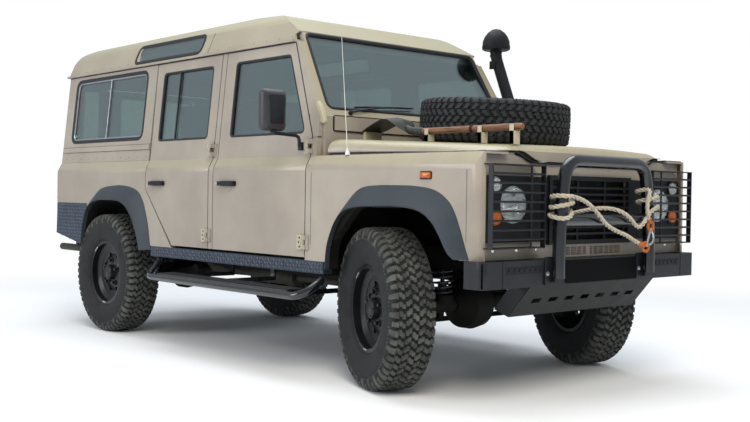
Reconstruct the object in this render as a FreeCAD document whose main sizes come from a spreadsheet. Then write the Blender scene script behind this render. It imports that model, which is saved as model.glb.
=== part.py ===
import FreeCAD, Part
import math
import os
import Sketcher

# Army 4x4 car: a long-wheelbase five-door station wagon on a ladder frame.
# Millimetres. The front faces -Y, the car's right side is at -X, the ground is Z = 0.
# Lengths named "_y" are counted from the front axle, positive towards the tail.

V = FreeCAD.Vector
DOC = FreeCAD.newDocument("ArmyCar")
SHEET = DOC.addObject("Spreadsheet::Sheet", "Sizes")


class Size:
    """A length: its value now, and the sheet formula that an object's property is bound to."""

    def __init__(self, value, formula):
        self.value = float(value)
        self.formula = formula

    def __add__(self, other):
        return Size(self.value + number(other), "(%s + %s)" % (self.formula, formula(other)))

    def __radd__(self, other):
        return Size(number(other) + self.value, "(%s + %s)" % (formula(other), self.formula))

    def __sub__(self, other):
        return Size(self.value - number(other), "(%s - %s)" % (self.formula, formula(other)))

    def __rsub__(self, other):
        return Size(number(other) - self.value, "(%s - %s)" % (formula(other), self.formula))

    def __mul__(self, other):
        return Size(self.value * number(other), "(%s * %s)" % (self.formula, formula(other)))

    def __rmul__(self, other):
        return self * other

    def __truediv__(self, other):
        return Size(self.value / number(other), "(%s / %s)" % (self.formula, formula(other)))

    def __neg__(self):
        return Size(-self.value, "(0 - %s)" % self.formula)


def number(size):
    return size.value if isinstance(size, Size) else float(size)


def formula(size):
    return size.formula if isinstance(size, Size) else "(%r)" % float(size)


def root(size):
    """The square root of a size."""
    return Size(math.sqrt(number(size)), "sqrt(%s)" % formula(size))


def angle_of(rise, run):
    """The angle in degrees whose tangent is rise over run."""
    degrees = math.degrees(math.atan2(number(rise), number(run)))
    return Size(degrees, "(atan2(%s; %s) / 1deg)" % (formula(rise), formula(run)))


def cosine(angle):
    return Size(math.cos(math.radians(number(angle))), "cos(%s * 1deg)" % formula(angle))


def sine(angle):
    return Size(math.sin(math.radians(number(angle))), "sin(%s * 1deg)" % formula(angle))


SIZES = [
    # The whole car
    ("front_overhang", 777), ("wheelbase", 2794), ("track_width", 1486),
    ("half_width", 833), ("shoulder_half", 800), ("gutter_half", 734),
    ("sill_bottom", 550), ("sill_top", 615), ("door_bottom", 630), ("shoulder_fall", 61),
    ("waist_height", 1166), ("gutter_height", 1801), ("wall", 36), ("skin", 10), ("shoulder_round", 70),
    ("panel_gap", 6), ("seat_gap", 0.3), ("plate_thick", 3), ("floor_height", 640), ("floor_thick", 14), ("seat_box_top", 840),
    # Wheels and axles
    ("tyre_radius", 403), ("tyre_width", 235), ("tread_half", 100), 
    ("bead_radius", 212), ("bead_half", 82), ("rim_radius", 206), ("rim_well", 168), ("rim_wall", 7),
    ("disc_offset", 18), ("hub_radius", 56), ("hub_nose", 62), ("stub_radius", 26), ("stub_play", 0.05),
    ("vent_circle", 250), ("vent_radius", 16),
    ("axle_radius", 42), ("diff_radius", 138), ("diff_offset", 180), ("kingpin_half", 605),
    ("ball_radius", 78), ("housing_radius", 106), ("housing_play", 7), ("brake_radius", 140),
    ("steer_rest", -20), ("arm_length", 180), ("arm_height", 300),
    ("arm_thick", 22), ("rod_radius", 14), ("link_reach", 830),
    # Ladder frame
    ("rail_half", 370), ("rail_width", 70), ("rail_depth", 110), ("rail_bottom", 480),
    ("rail_front_y", -600), ("rail_kick_y", 2020), ("rail_arch_y", 2420), ("rail_rise", 120),
    ("front_rise", 40), ("front_arch_rise", 110), ("front_arch_half", 190), ("rail_slope", 120),
    ("rail_rear_y", 3480), ("jaw_end", 201), ("member_y", 780), ("cross_radius", 38), ("pipe_radius", 25), ("tail_pipe", 545), ("silencer_y", 1350), ("silencer_long", 450), ("silencer_height", 445), ("outrigger_depth", 80), ("outrigger_width", 60),
    # Doors
    ("front_door_y", 570), ("pillar_front_y", 1455), ("pillar_rear_y", 1512), ("rear_door_y", 2255),
    ("rear_door_foot_y", 1922), ("rear_door_knee", 983), ("door_top", 1793), ("rake_foot", 1270),
    ("rake_top_y", 794), ("window_sill", 1290), ("window_top", 1732), ("window_round", 28),
    ("front_window_top_y", 829), ("front_window_foot_y", 633), ("front_window_rear_y", 1354),
    ("rear_window_front_y", 1597), ("rear_window_rear_y", 2181), ("glass_thick", 5), ("glass_inset", 12),
    ("hinge_low", 709), ("hinge_high", 1217), ("hinge_out", 13), ("hinge_high_half", 828), ("hinge_radius", 8),
    ("hinge_height", 76), ("hinge_leaf", 40), ("short_leaf", 24), ("handle_drop", 87), ("handle_length", 120),
    ("handle_tall", 24), ("handle_out", 30), ("front_handle_y", 1306), ("rear_handle_y", 2107),
    
    # Rear body
    ("body_rear_y", 3566), ("quarter_front_y", 2400), ("quarter_rear_y", 3430), ("quarter_sill", 1317),
    ("quarter_top", 1761), ("quarter_round", 60), ("rear_lower_y", 3180), ("rear_lower", 585),
    ("rear_corner", 652), ("tail_half", 450), ("tail_bottom", 660), ("tail_top", 1740),
    ("tail_window_half", 340), ("capping_height", 1258), ("capping_tall", 34), ("capping_out", 6),
    # Roof
    ("roof_side", 1968), ("roof_side_half", 662), ("roof_crown", 2030), ("roof_front_y", 800),
    ("roof_front_height", 1866), ("roof_flat_y", 1500), ("roof_rear_y", 3600), ("roof_round", 120),
    ("gutter_out", 16), ("gutter_tall", 14), ("alpine_front_y", 1796), ("alpine_rear_y", 2620),
    ("alpine_low", 1836), ("alpine_high", 1946), 
    # Windscreen and scuttle
    ("screen_foot_y", 548), ("screen_foot", 1427), ("screen_top_y", 797), ("screen_top", 1854),
    ("screen_foot_half", 700), ("screen_top_half", 668), ("screen_border", 46), ("screen_round", 45),
    ("screen_deep", 30), ("screen_side", 22), ("pillar_thick", 60), ("screen_over", 8), ("scuttle_y", 500), ("scuttle_half", 756), ("flap_low", 1305),
    ("flap_high", 1380), ("flap_half", 700), ("flap_out", 12), ("bulkhead_y", 492),
    # Bonnet
    ("bonnet_rear_y", 448), ("bonnet_rear_half", 782), ("bonnet_rear_top", 1265),
    ("bonnet_front_y", -655), ("bonnet_front_half", 600), ("bonnet_front_top", 1211),
    ("bonnet_edge", 1178), ("bonnet_round", 60), ("nose_round", 55), ("lip_height", 1130),
    ("lip_half", 400), ("bonnet_skin", 12), ("bonnet_hinge_y", 466), ("bonnet_hinge", 1214),
    ("bonnet_hinge_half", 560), ("bonnet_knuckle", 30),
    # Front
    ("wing_front_y", -668), ("wing_corner", 42), ("wing_top_inner", 640), ("panel_y", -640),
    ("panel_thick", 14), ("panel_bottom", 677), ("wing_panel_half", 786), ("lamp_half", 585),
    ("lamp_drop", 237), ("lamp_radius", 90), ("lamp_deep", 26), ("small_half", 711),
    ("side_lamp_rise", 92), ("amber_drop", 60), ("small_radius", 36), ("small_deep", 34),
    ("surround_outer", 783), ("surround_inner", 410), ("surround_fall", 172), ("surround_rise", 131),
    ("surround_thick", 12), ("grille_half", 329), ("grille_low", 740), ("grille_high", 1070),
    ("slat_tall", 17), ("slat_deep", 24), ("slat_count", 8), ("vent_low", 686), ("vent_high", 727),
    ("vent_half", 268), ("vent_gap", 30),
    # Bumper and bars
    ("bumper_y", -713), ("bumper_half", 852), ("bumper_low", 554), ("bumper_high", 676),
    ("bumper_deep", 110), ("bumper_wall", 6), ("hoop_radius", 31), ("hoop_half", 365),
    ("hoop_top_half", 322), ("hoop_top", 1138), ("hoop_y", -746), ("hoop_bend", 110),
    ("hoop_foot", 600), ("cross_low", 819), ("cross_high", 897), 
    ("clamp_width", 130), ("clamp_thick", 9), ("clamp_high", 700), ("guard_inner", 435),
    ("guard_outer", 800), ("guard_low", 731), ("guard_high", 1112), ("guard_y", -722),
    ("guard_rod", 5), ("guard_bar", 26), ("guard_plate", 5), ("guard_count", 8),
    ("skid_half", 500), ("skid_low", 400), ("skid_slots", 7), ("skid_thick", 8), ("skid_y", -690),
    ("skid_rear_y", -560),
    # Wheel arches
    ("arch_front_foot_y", -560), ("arch_front_low", 672), ("arch_top", 908), ("flare_width", 106),
    ("arch_front_y", -345), ("arch_rear_y", 150), ("arch_rear_foot_y", 385), ("arch_lip_y", 340), ("flare_out", 46), ("flare_lip", 15), ("flare_skin", 5),
    ("rear_lip_top", 905), ("rear_lip_rear_y", 2985), ("rear_lip_end_y", 3084), ("rear_flare_y", 3150),
    ("rear_arch_foot_y", 2262), ("rear_arch_front_y", 2450), ("rear_arch_rear_y", 3020),
    ("rear_arch_end_y", 3168), ("arch_round", 120),
    # Side steps, intake, aerial and plates
    ("step_half", 975), ("step_height", 440), ("step_radius", 21), ("step_front_y", 400),
    ("step_rear_y", 1960), ("step_bend", 95), ("step_rise", 84), ("step_inset", 130), ("step_splay", 90), ("tread_inner", 850), 
    ("intake_half", 813), ("intake_radius", 34), ("intake_y", 650), ("intake_foot_y", 490), ("head_radius", 92),
    ("head_low", 1900), ("head_tall", 146), ("aerial_half", 802), ("aerial_y", 262),
    ("aerial_tall", 606), ("rope_radius", 11), ("rope_turn", 52), ("chequer_top", 875), 
    # Spare wheel and shovel
    ("spare_y", -5), ("shovel_half", 520), ("shovel_front_y", -650), ("shovel_neck_y", 10),
    ("shovel_tip_y", 440), ("handle_radius", 17), ("shovel_height", 1290), ("blade_peak", 82),
    # Cabin
    ("seat_width", 430), ("seat_deep", 480), ("seat_high", 990), ("seat_back", 560),
    ("seat_thick", 120), ("front_seat_y", 1010), ("rear_seat_y", 1755), ("step_up_y", 1786), ("rear_floor_rise", 130), ("seat_half", 400),
    ("dash_y", 573), ("dash_low", 1080), ("dash_high", 1270), ("wheel_half", 400),
    ("steering_radius", 200), ("rim_tube", 13), ("steering_y", 900), ("steering_height", 1180),
    ("steering_rake", 28),
    # Mirrors
    ("mirror_half", 1000), ("mirror_y", 628), ("mirror_low", 1290), ("mirror_high", 1508),
    ("mirror_width", 150), ("mirror_deep", 60), ("mirror_round", 24),
]

for line, (alias, amount) in enumerate(SIZES, start=1):
    SHEET.set("A%d" % line, alias)
    SHEET.set("B%d" % line, str(amount))
    SHEET.setAlias("B%d" % line, alias)
DOC.recompute()


class Names:
    """Every size of the sheet by its alias."""


for alias, amount in SIZES:
    setattr(Names, alias, Size(amount, "Sizes." + alias))
S = Names
LENGTH = S.front_overhang + S.rail_rear_y + S.jaw_end
FRONT = S.front_overhang - LENGTH / 2
TAIL_END = LENGTH / 2
REAR = FRONT + S.wheelbase
WHEEL = S.track_width / 2
AXLE = S.tyre_radius
BARREL = S.waist_height - S.shoulder_fall
HANDLE = BARREL - S.handle_drop
LAMP = S.waist_height - S.lamp_drop
SIDE_LAMP = LAMP + S.side_lamp_rise
AMBER = LAMP - S.amber_drop
ZERO = Size(0, "0")


def at(distance):
    """The Y of a place counted from the front axle."""
    return FRONT + distance


def bind(item, sizes):
    for name, size in sizes.items():
        item.setExpression(name, formula(size))


TURNS = {"X": FreeCAD.Rotation(V(0, 1, 0), 90), "Y": FreeCAD.Rotation(V(1, 0, 0), -90),
         "Z": FreeCAD.Rotation()}
PLANES = {"XY": FreeCAD.Rotation(), "XZ": FreeCAD.Rotation(V(1, 0, 0), 90),
          "YZ": FreeCAD.Rotation(V(1, 1, 1), 120)}
NORMALS = {"XY": V(0, 0, 1), "XZ": V(0, 1, 0), "YZ": V(1, 0, 0)}
DEPTHS = {"XY": "z", "XZ": "y", "YZ": "x"}


def block(x, y, z):
    item = DOC.addObject("Part::Box", "Block")
    bind(item, {"Length": x[1] - x[0], "Width": y[1] - y[0], "Height": z[1] - z[0],
                "Placement.Base.x": x[0], "Placement.Base.y": y[0], "Placement.Base.z": z[0]})
    return item


def stand(item, axis, centre, start):
    """Lay a round primitive along an axis, its first end at start."""
    item.Placement = FreeCAD.Placement(V(0, 0, 0), TURNS[axis])
    places = {"X": (start, centre[0], centre[1]), "Y": (centre[0], start, centre[1]),
              "Z": (centre[0], centre[1], start)}[axis]
    bind(item, {"Placement.Base." + name: place for name, place in zip("xyz", places)})
    return item


def rod(axis, centre, span, radius):
    item = DOC.addObject("Part::Cylinder", "Rod")
    bind(item, {"Radius": radius, "Height": span[1] - span[0]})
    return stand(item, axis, centre, span[0])


def cone(axis, centre, span, first, last):
    item = DOC.addObject("Part::Cone", "Cone")
    bind(item, {"Radius1": first, "Radius2": last, "Height": span[1] - span[0]})
    return stand(item, axis, centre, span[0])


def ball(centre, radius):
    item = DOC.addObject("Part::Sphere", "Ball")
    bind(item, {"Radius": radius, "Placement.Base.x": centre[0], "Placement.Base.y": centre[1],
                "Placement.Base.z": centre[2]})
    return item


def strut(first, last, radius):
    """A round bar between two points in a plane parallel to YZ or to XZ."""
    item = DOC.addObject("Part::Cylinder", "Strut")
    sideways, along, up = (b - a for a, b in zip(first, last))
    flat, axis = (along, V(-1, 0, 0)) if number(sideways) == 0 else (sideways, V(0, 1, 0))
    item.Placement = FreeCAD.Placement(V(0, 0, 0), FreeCAD.Rotation(axis, 10))
    bind(item, {"Radius": radius, "Height": root(flat * flat + up * up),
                "Placement.Rotation.Angle": angle_of(flat, up),
                "Placement.Base.x": first[0], "Placement.Base.y": first[1],
                "Placement.Base.z": first[2]})
    return item


def pipe(points, radius):
    """Straight runs of round bar with ball knees between them."""
    runs = [strut(first, last, radius) for first, last in zip(points, points[1:])]
    return fuse(*runs, *[ball(point, radius) for point in points[1:-1]])


def sketch(plane, outline, depth, rounds=None, closed=True):
    """An outline whose corners and round radii are bound to the sheet."""
    item = DOC.addObject("Sketcher::SketchObject", "Outline")
    item.Placement = FreeCAD.Placement(V(0, 0, 0), PLANES[plane])
    bind(item, {"Placement.Base." + DEPTHS[plane]: depth})
    corners = [V(number(u), number(v), 0) for u, v in outline]
    last = len(corners) if closed else len(corners) - 1
    for index in range(last):
        item.addGeometry(Part.LineSegment(corners[index], corners[(index + 1) % len(corners)]), False)
    for index in range(last if closed else last - 1):
        item.addConstraint(Sketcher.Constraint("Coincident", index, 2, (index + 1) % last, 1))
    for index, (u, v) in enumerate(outline):
        line, end = (index, 1) if index < last else (last - 1, 2)
        for kind, size in (("DistanceX", u), ("DistanceY", v)):
            spot = item.addConstraint(Sketcher.Constraint(kind, -1, 1, line, end, number(size)))
            item.setExpression("Constraints[%d]" % spot, formula(size))
    for index, radius in sorted((rounds or {}).items()):
        item.fillet(index, 1, number(radius), True, True)
        arc = next(spot for spot in range(item.GeometryCount - 1, -1, -1)
                   if item.Geometry[spot].TypeId == "Part::GeomArcOfCircle")
        spot = item.addConstraint(Sketcher.Constraint("Radius", arc, number(radius)))
        item.setExpression("Constraints[%d]" % spot, formula(radius))
    return item


def plate(plane, outline, span, rounds=None):
    item = DOC.addObject("Part::Extrusion", "Plate")
    item.Base = sketch(plane, outline, span[0], rounds)
    item.DirMode = "Custom"
    item.Dir = NORMALS[plane]
    item.Solid = True
    bind(item, {"LengthFwd": span[1] - span[0]})
    return item


def turned(axis, outline, centre, rounds=None):
    """A ring or disc: an outline of (along, radius) points turned about an axis."""
    item = DOC.addObject("Part::Revolution", "Turned")
    item.Source = sketch("XZ", outline, 0, rounds)
    item.Axis = V(1, 0, 0)
    item.Angle = 360
    item.Solid = True
    rotation = {"X": FreeCAD.Rotation(), "Y": FreeCAD.Rotation(V(0, 0, 1), 90),
                "Z": FreeCAD.Rotation(V(0, 1, 0), -90)}[axis]
    item.Placement = FreeCAD.Placement(V(0, 0, 0), rotation)
    bind(item, {"Placement.Base." + name: place for name, place in zip("xyz", centre)})
    return item


def swept(plane, route, depth, radius, rounds):
    """A bent tube whose centre line lies in one plane and starts along the plane's second axis."""
    spine = sketch(plane, route, depth, rounds, closed=False)
    ring = DOC.addObject("Part::Circle", "Ring")
    bind(ring, {"Radius": radius})
    start = {"XY": (route[0][0], route[0][1], depth), "XZ": (route[0][0], depth, route[0][1]),
             "YZ": (depth, route[0][0], route[0][1])}[plane]
    facing = "Y" if plane == "XY" else "Z"
    ring.Placement = FreeCAD.Placement(V(0, 0, 0), TURNS[facing])
    bind(ring, {"Placement.Base." + name: place for name, place in zip("xyz", start)})
    DOC.recompute([spine])
    item = DOC.addObject("Part::Sweep", "Tube")
    item.Sections = [ring]
    item.Spine = (spine, ["Edge%d" % (edge + 1) for edge in range(len(spine.Shape.Edges))])
    item.Solid = True
    return item


def fuse(*items):
    item = DOC.addObject("Part::MultiFuse", "Joined")
    item.Shapes = list(items)
    return item


def group(*items):
    item = DOC.addObject("Part::Compound", "Set")
    item.Links = list(items)
    return item


def cut(base, *tools):
    item = DOC.addObject("Part::Cut", "Cut")
    item.Base = base
    item.Tool = tools[0] if len(tools) == 1 else fuse(*tools)
    return item


def common(first, second):
    item = DOC.addObject("Part::Common", "Shared")
    item.Base = first
    item.Tool = second
    return item


def mirror(item):
    """The same piece on the other side of the car."""
    other = DOC.addObject("Part::Mirroring", "Mirrored")
    other.Source = item
    other.Normal = V(1, 0, 0)
    return other


def both(item):
    return group(item, mirror(item))


def moved(item, x=0.0, y=0.0, z=0.0):
    copy = group(item)
    bind(copy, {"Placement.Base.x": x, "Placement.Base.y": y, "Placement.Base.z": z})
    return copy


def tilted(item, axis, centre, angle):
    """The item turned by an angle about an X, Y or Z line through a centre (x, y, z)."""
    copy = group(item)
    copy.Placement = FreeCAD.Placement(V(0, 0, 0), FreeCAD.Rotation(axis, 10))
    x, y, z = centre
    if axis.z:
        places = (x - (x * cosine(angle) - y * sine(angle)), y - (x * sine(angle) + y * cosine(angle)), 0.0)
    elif axis.y:
        places = (x - (x * cosine(angle) + z * sine(angle)), 0.0, z - (z * cosine(angle) - x * sine(angle)))
    else:
        places = (0.0, y - (y * cosine(angle) - z * sine(angle)), z - (y * sine(angle) + z * cosine(angle)))
    bind(copy, {"Placement.Rotation.Angle": angle, "Placement.Base.x": places[0],
                "Placement.Base.y": places[1], "Placement.Base.z": places[2]})
    return copy


PIECES = []


def piece(node, *items):
    """Label a finished sub-part, which names its file."""
    item = items[0] if len(items) == 1 else group(*items)
    item.Label = node
    PIECES.append(item)
    return item


X_AXIS = V(1, 0, 0)
Y_AXIS = V(0, 1, 0)
Z_AXIS = V(0, 0, 1)


# Body sides: one section, cut into wings, doors and quarters
def side_wall(span, thick, low=S.sill_top, high=S.gutter_height):
    """A strip of the right side wall, of one thickness, from the sill to the gutter."""
    lean = (S.shoulder_half - S.gutter_half) / (S.gutter_height - S.waist_height)
    top = S.gutter_half + lean * (S.gutter_height - high)
    outline = [(-S.half_width, low), (-S.half_width, BARREL), (-S.shoulder_half, S.waist_height),
               (-top, high), (-top + thick, high), (-S.shoulder_half + thick, S.waist_height),
               (-S.half_width + thick, BARREL), (-S.half_width + thick, low)]
    return plate("XZ", outline, span, {1: S.shoulder_round, 6: S.shoulder_round - thick})


def lower_wall(span, thick, low, high=S.waist_height):
    """The same strip below the waist alone, up to the waist or to a height on the flat side."""
    if high is S.waist_height:
        outline = [(-S.half_width, low), (-S.half_width, BARREL), (-S.shoulder_half, high),
                   (-S.shoulder_half + thick, high), (-S.half_width + thick, BARREL),
                   (-S.half_width + thick, low)]
        return plate("XZ", outline, span, {1: S.shoulder_round, 4: S.shoulder_round - thick})
    return block((-S.half_width, -S.half_width + thick), span, (low, high))


def lean_half(height):
    """Half the body's width at a height above the waist."""
    lean = (S.shoulder_half - S.gutter_half) / (S.gutter_height - S.waist_height)
    return S.gutter_half + lean * (S.gutter_height - height)


def upper_wall(span, thick, low, high=S.gutter_height, inset=0.0):
    """The strip above the waist alone, which leans in to the gutter."""
    foot = -lean_half(low) + inset
    top = -lean_half(high) + inset
    return plate("XZ", [(foot, low), (top, high), (top + thick, high), (foot + thick, low)], span)


ACROSS = (-S.half_width - 60, -S.gutter_half + 120)


def window_prism(outline, play=0.0, corner=S.window_round):
    """A prism through the right side wall with rounded corners."""
    return plate("YZ", outline, ACROSS, {index: corner - play for index in range(len(outline))})


def grow(outline, play):
    """A window outline of four corners, drawn in by some play."""
    (y0, z0), (y1, z1), (y2, z2), (y3, z3) = outline
    return [(y0 + play, z0 + play), (y1 + play, z1 - play), (y2 - play, z2 - play), (y3 - play, z3 + play)]


def pane(outline, corner=S.window_round):
    """The glass that fits a window of the right side wall."""
    sheet = upper_wall((outline[0][0] - 10, outline[2][0] + 10), S.glass_thick, S.waist_height + 20,
                       S.gutter_height, S.glass_inset)
    return common(sheet, window_prism(grow(outline, S.seat_gap), S.seat_gap, corner))


FRONT_WINDOW = [(at(S.front_window_foot_y), S.window_sill), (at(S.front_window_top_y), S.window_top),
                (at(S.front_window_rear_y), S.window_top), (at(S.front_window_rear_y), S.window_sill)]
REAR_WINDOW = [(at(S.rear_window_front_y), S.window_sill), (at(S.rear_window_front_y), S.window_top),
               (at(S.rear_window_rear_y), S.window_top), (at(S.rear_window_rear_y), S.window_sill)]
QUARTER_WINDOW = [(at(S.quarter_front_y), S.quarter_sill), (at(S.quarter_front_y), S.quarter_top),
                  (at(S.quarter_rear_y), S.quarter_top), (at(S.quarter_rear_y), S.quarter_sill)]


def hinge_axis(height):
    """The X of the leaning hinge line at a height, outside the right side."""
    low = -S.half_width - S.hinge_out
    high = -S.hinge_high_half
    return low + (high - low) * ((height - S.hinge_low) / (S.hinge_high - S.hinge_low))


def hinge_face(height):
    """The X of the right side's face behind a hinge."""
    return -S.half_width if height is S.hinge_low else -lean_half(height)


def knuckle_part(height, edge, low, high):
    """One length of a hinge barrel on the leaning hinge line, counted from its middle height."""
    pin = hinge_axis(height)
    lean = angle_of(S.half_width + S.hinge_out - S.hinge_high_half, S.hinge_high - S.hinge_low)
    barrel = rod("Z", (pin, edge - S.panel_gap / 2), (height + low, height + high), S.hinge_radius)
    return tilted(barrel, Y_AXIS, (pin, 0.0, height), lean)


def door_hinges(edge):
    """The door halves of two outside hinges: the middle of each barrel and its leaf."""
    pieces = []
    third = S.hinge_height / 6
    half = S.hinge_height / 2
    line = edge - S.panel_gap / 2
    leaf = line + S.hinge_radius + 3
    for height in (S.hinge_low, S.hinge_high):
        pin = hinge_axis(height)
        face = hinge_face(height)
        middle = (height - third, height + third)
        pieces.append(knuckle_part(height, edge, -third, third))
        pieces.append(block((pin - 3, pin + 3), (line, leaf + 1), middle))
        pieces.append(block((pin - 3, face + 2), (leaf, leaf + 8), middle))
        pieces.append(block((face - 8, face + 6), (leaf, edge + S.hinge_leaf), (height - half, height + half)))
    return pieces


def body_hinge(edge, height):
    """The fixed half of a hinge, on the post ahead of the door: both ends of the barrel and the leaf."""
    third = S.hinge_height / 6 + S.seat_gap
    half = S.hinge_height / 2
    line = edge - S.panel_gap / 2
    leaf = line - S.hinge_radius - 3
    pin = hinge_axis(height)
    face = hinge_face(height)
    pieces = [block((face - 8, face + 6), (leaf - S.short_leaf, leaf), (height - half, height + half))]
    for low, high in ((-half, -third), (third, half)):
        pieces.append(knuckle_part(height, edge, low, high))
        pieces.append(block((pin - 3, pin + 3), (leaf - 8, line), (height + low, height + high)))
        pieces.append(block((pin - 3, face + 2), (leaf - 8, leaf), (height + low, height + high)))
    return fuse(*pieces)


def handle(centre):
    """A pull handle standing off the door on a back plate."""
    half = S.handle_length / 2
    face = -S.half_width
    low = HANDLE - S.handle_tall / 2
    grip = plate("XY", [(face - S.handle_out, centre - half), (face - S.handle_out, centre + half - 14),
                        (face + 3, centre + half), (face + 3, centre + half - 30),
                        (face - S.handle_out / 2, centre + half - 34), (face - S.handle_out / 2, centre - half + 10),
                        (face + 3, centre - half + 10), (face + 3, centre - half)],
                 (low, low + S.handle_tall))
    return grip


def side_door(outline, window, hinge_edge, handle_y):
    """A hollow-windowed door, its hinges and handle, for the right side."""
    whole = side_wall((outline[0][0] - 10, outline[3][0] + 40), S.wall, S.door_bottom, S.door_top)
    form = common(whole, plate("YZ", outline, ACROSS))
    panel = cut(form, window_prism(window))
    return fuse(panel, handle(handle_y), *door_hinges(hinge_edge))


def doors():
    front_edge = at(S.front_door_y)
    front_rear = at(S.pillar_front_y)
    front_outline = [(front_edge, S.door_bottom), (front_edge, S.rake_foot), (at(S.rake_top_y), S.door_top),
                     (front_rear, S.door_top), (front_rear, S.door_bottom)]
    rear_edge = at(S.pillar_rear_y)
    rear_outline = [(rear_edge, S.door_bottom), (rear_edge, S.door_top), (at(S.rear_door_y) + 18, S.door_top),
                    (at(S.rear_door_y), S.waist_height), (at(S.rear_door_y), S.rear_door_knee),
                    (at(S.rear_door_foot_y), S.door_bottom)]
    front = side_door(front_outline, FRONT_WINDOW, front_edge, at(S.front_handle_y))
    rear = side_door(rear_outline, REAR_WINDOW, rear_edge, at(S.rear_handle_y))
    for name, door, window in (("front", front, FRONT_WINDOW), ("rear", rear, REAR_WINDOW)):
        glass = pane(window)
        piece(name + "_door_right", door)
        piece(name + "_door_left", mirror(door))
        piece(name + "_door_glass_right", glass)
        piece(name + "_door_glass_left", mirror(glass))


def mirrors():
    """Door mirrors on arms that rise from the upper hinge."""
    x = -S.mirror_half
    y = at(S.mirror_y)
    half = S.mirror_width / 2
    z = (S.mirror_low, S.mirror_high)
    head = plate("XZ", [(x - half, z[0]), (x - half, z[1]), (x + half, z[1]), (x + half, z[0])],
                 (y - S.mirror_deep / 2, y + S.mirror_deep / 2), {index: S.mirror_round for index in range(4)})
    foot = hinge_axis(S.hinge_high) + 2
    arm = swept("XZ", [(foot, S.hinge_high), (foot, z[0] - 22), (x, z[0] - 12), (x, z[0] + 10)],
                y, 10, {1: 22, 2: 9})
    lug = block((foot - 16, -lean_half(S.hinge_high - 22) - S.seat_gap), (at(S.front_door_y) + S.hinge_leaf + 2, y + 14),
                (S.hinge_high - 22, S.hinge_high + 22))
    right = fuse(head, arm, lug)
    piece("mirror_right", right)
    piece("mirror_left", mirror(right))


TAIL_HINGES = (S.tail_bottom + 130, S.capping_height, S.quarter_top - 70)


def tail_hinge(height):
    """The fixed half of a tail door hinge: both ends of the barrel and the leaf."""
    face = at(S.body_rear_y)
    pin = -S.tail_half + S.panel_gap / 2
    third = S.hinge_height / 6 + S.seat_gap
    half = S.hinge_height / 2
    leaf = pin - S.hinge_radius - 3
    pieces = [block((leaf - S.hinge_leaf, leaf), (face - 2, face + 12), (height - half, height + half))]
    for low, high in ((-half, -third), (third, half)):
        pieces.append(rod("Z", (pin, face + S.hinge_radius + 6), (height + low, height + high), S.hinge_radius))
        pieces.append(block((leaf - 1, pin), (face + 6, face + 12), (height + low, height + high)))
    return fuse(*pieces)


def tail_door():
    """The side-hung tail door with its window, barrels, leaves and handle."""
    y = (at(S.body_rear_y) - S.wall, at(S.body_rear_y) + 4)
    half = S.tail_half - S.panel_gap
    top = S.tail_top - S.panel_gap
    panel = plate("XZ", [(-half, S.tail_bottom), (-half, top), (half, top), (half, S.tail_bottom)], y,
                  {1: 40, 2: 40})
    pane_low = S.quarter_sill
    pane_top = S.quarter_top - 60
    wide = S.tail_window_half
    hole = [(-wide, pane_low), (-wide, pane_top), (wide, pane_top), (wide, pane_low)]
    rounds = {index: S.window_round for index in range(4)}
    opening = plate("XZ", hole, (y[0] - 5, y[1] + 5), rounds)
    pin = -S.tail_half + S.panel_gap / 2
    reach = S.hinge_radius + 3
    third = S.hinge_height / 6
    tall = S.hinge_height / 2
    parts = [cut(panel, opening)]
    for height in TAIL_HINGES:
        parts.append(rod("Z", (pin, y[1] + S.hinge_radius + 2), (height - third, height + third), S.hinge_radius))
        parts.append(block((pin, pin + reach + 1), (y[1] + 2, y[1] + 8), (height - third, height + third)))
        parts.append(block((pin + reach, pin + 3 * S.hinge_leaf), (y[1], y[1] + 8), (height - tall, height + tall)))
    parts.append(block((half - 150, half - 40), (y[1], y[1] + S.handle_out), (1000, 1040)))
    piece("tail_door", fuse(*parts))
    inner = [(-wide + S.seat_gap, pane_low + S.seat_gap), (-wide + S.seat_gap, pane_top - S.seat_gap),
             (wide - S.seat_gap, pane_top - S.seat_gap), (wide - S.seat_gap, pane_low + S.seat_gap)]
    piece("tail_door_glass", plate("XZ", inner, (y[1] - 20, y[1] - 20 + S.glass_thick),
                                   {index: S.window_round - S.seat_gap for index in range(4)}))


FRONT_ARCH = [(at(S.arch_front_foot_y), S.sill_bottom - 60), (at(S.arch_front_foot_y), S.arch_front_low),
              (at(S.arch_front_y), S.arch_top), (at(S.arch_rear_y), S.arch_top),
              (at(S.arch_rear_foot_y), S.arch_front_low), (at(S.arch_rear_foot_y), S.sill_bottom - 60)]
REAR_ARCH = [(at(S.rear_arch_foot_y), S.sill_bottom - 60), (at(S.rear_arch_foot_y), S.sill_top + 20),
             (at(S.rear_arch_front_y), S.arch_top), (at(S.rear_arch_rear_y), S.arch_top),
             (at(S.rear_arch_end_y), S.arch_front_low), (at(S.rear_arch_end_y), S.sill_bottom - 60)]
ARCH_ROUNDS = {2: S.arch_round, 3: S.arch_round}


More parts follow.
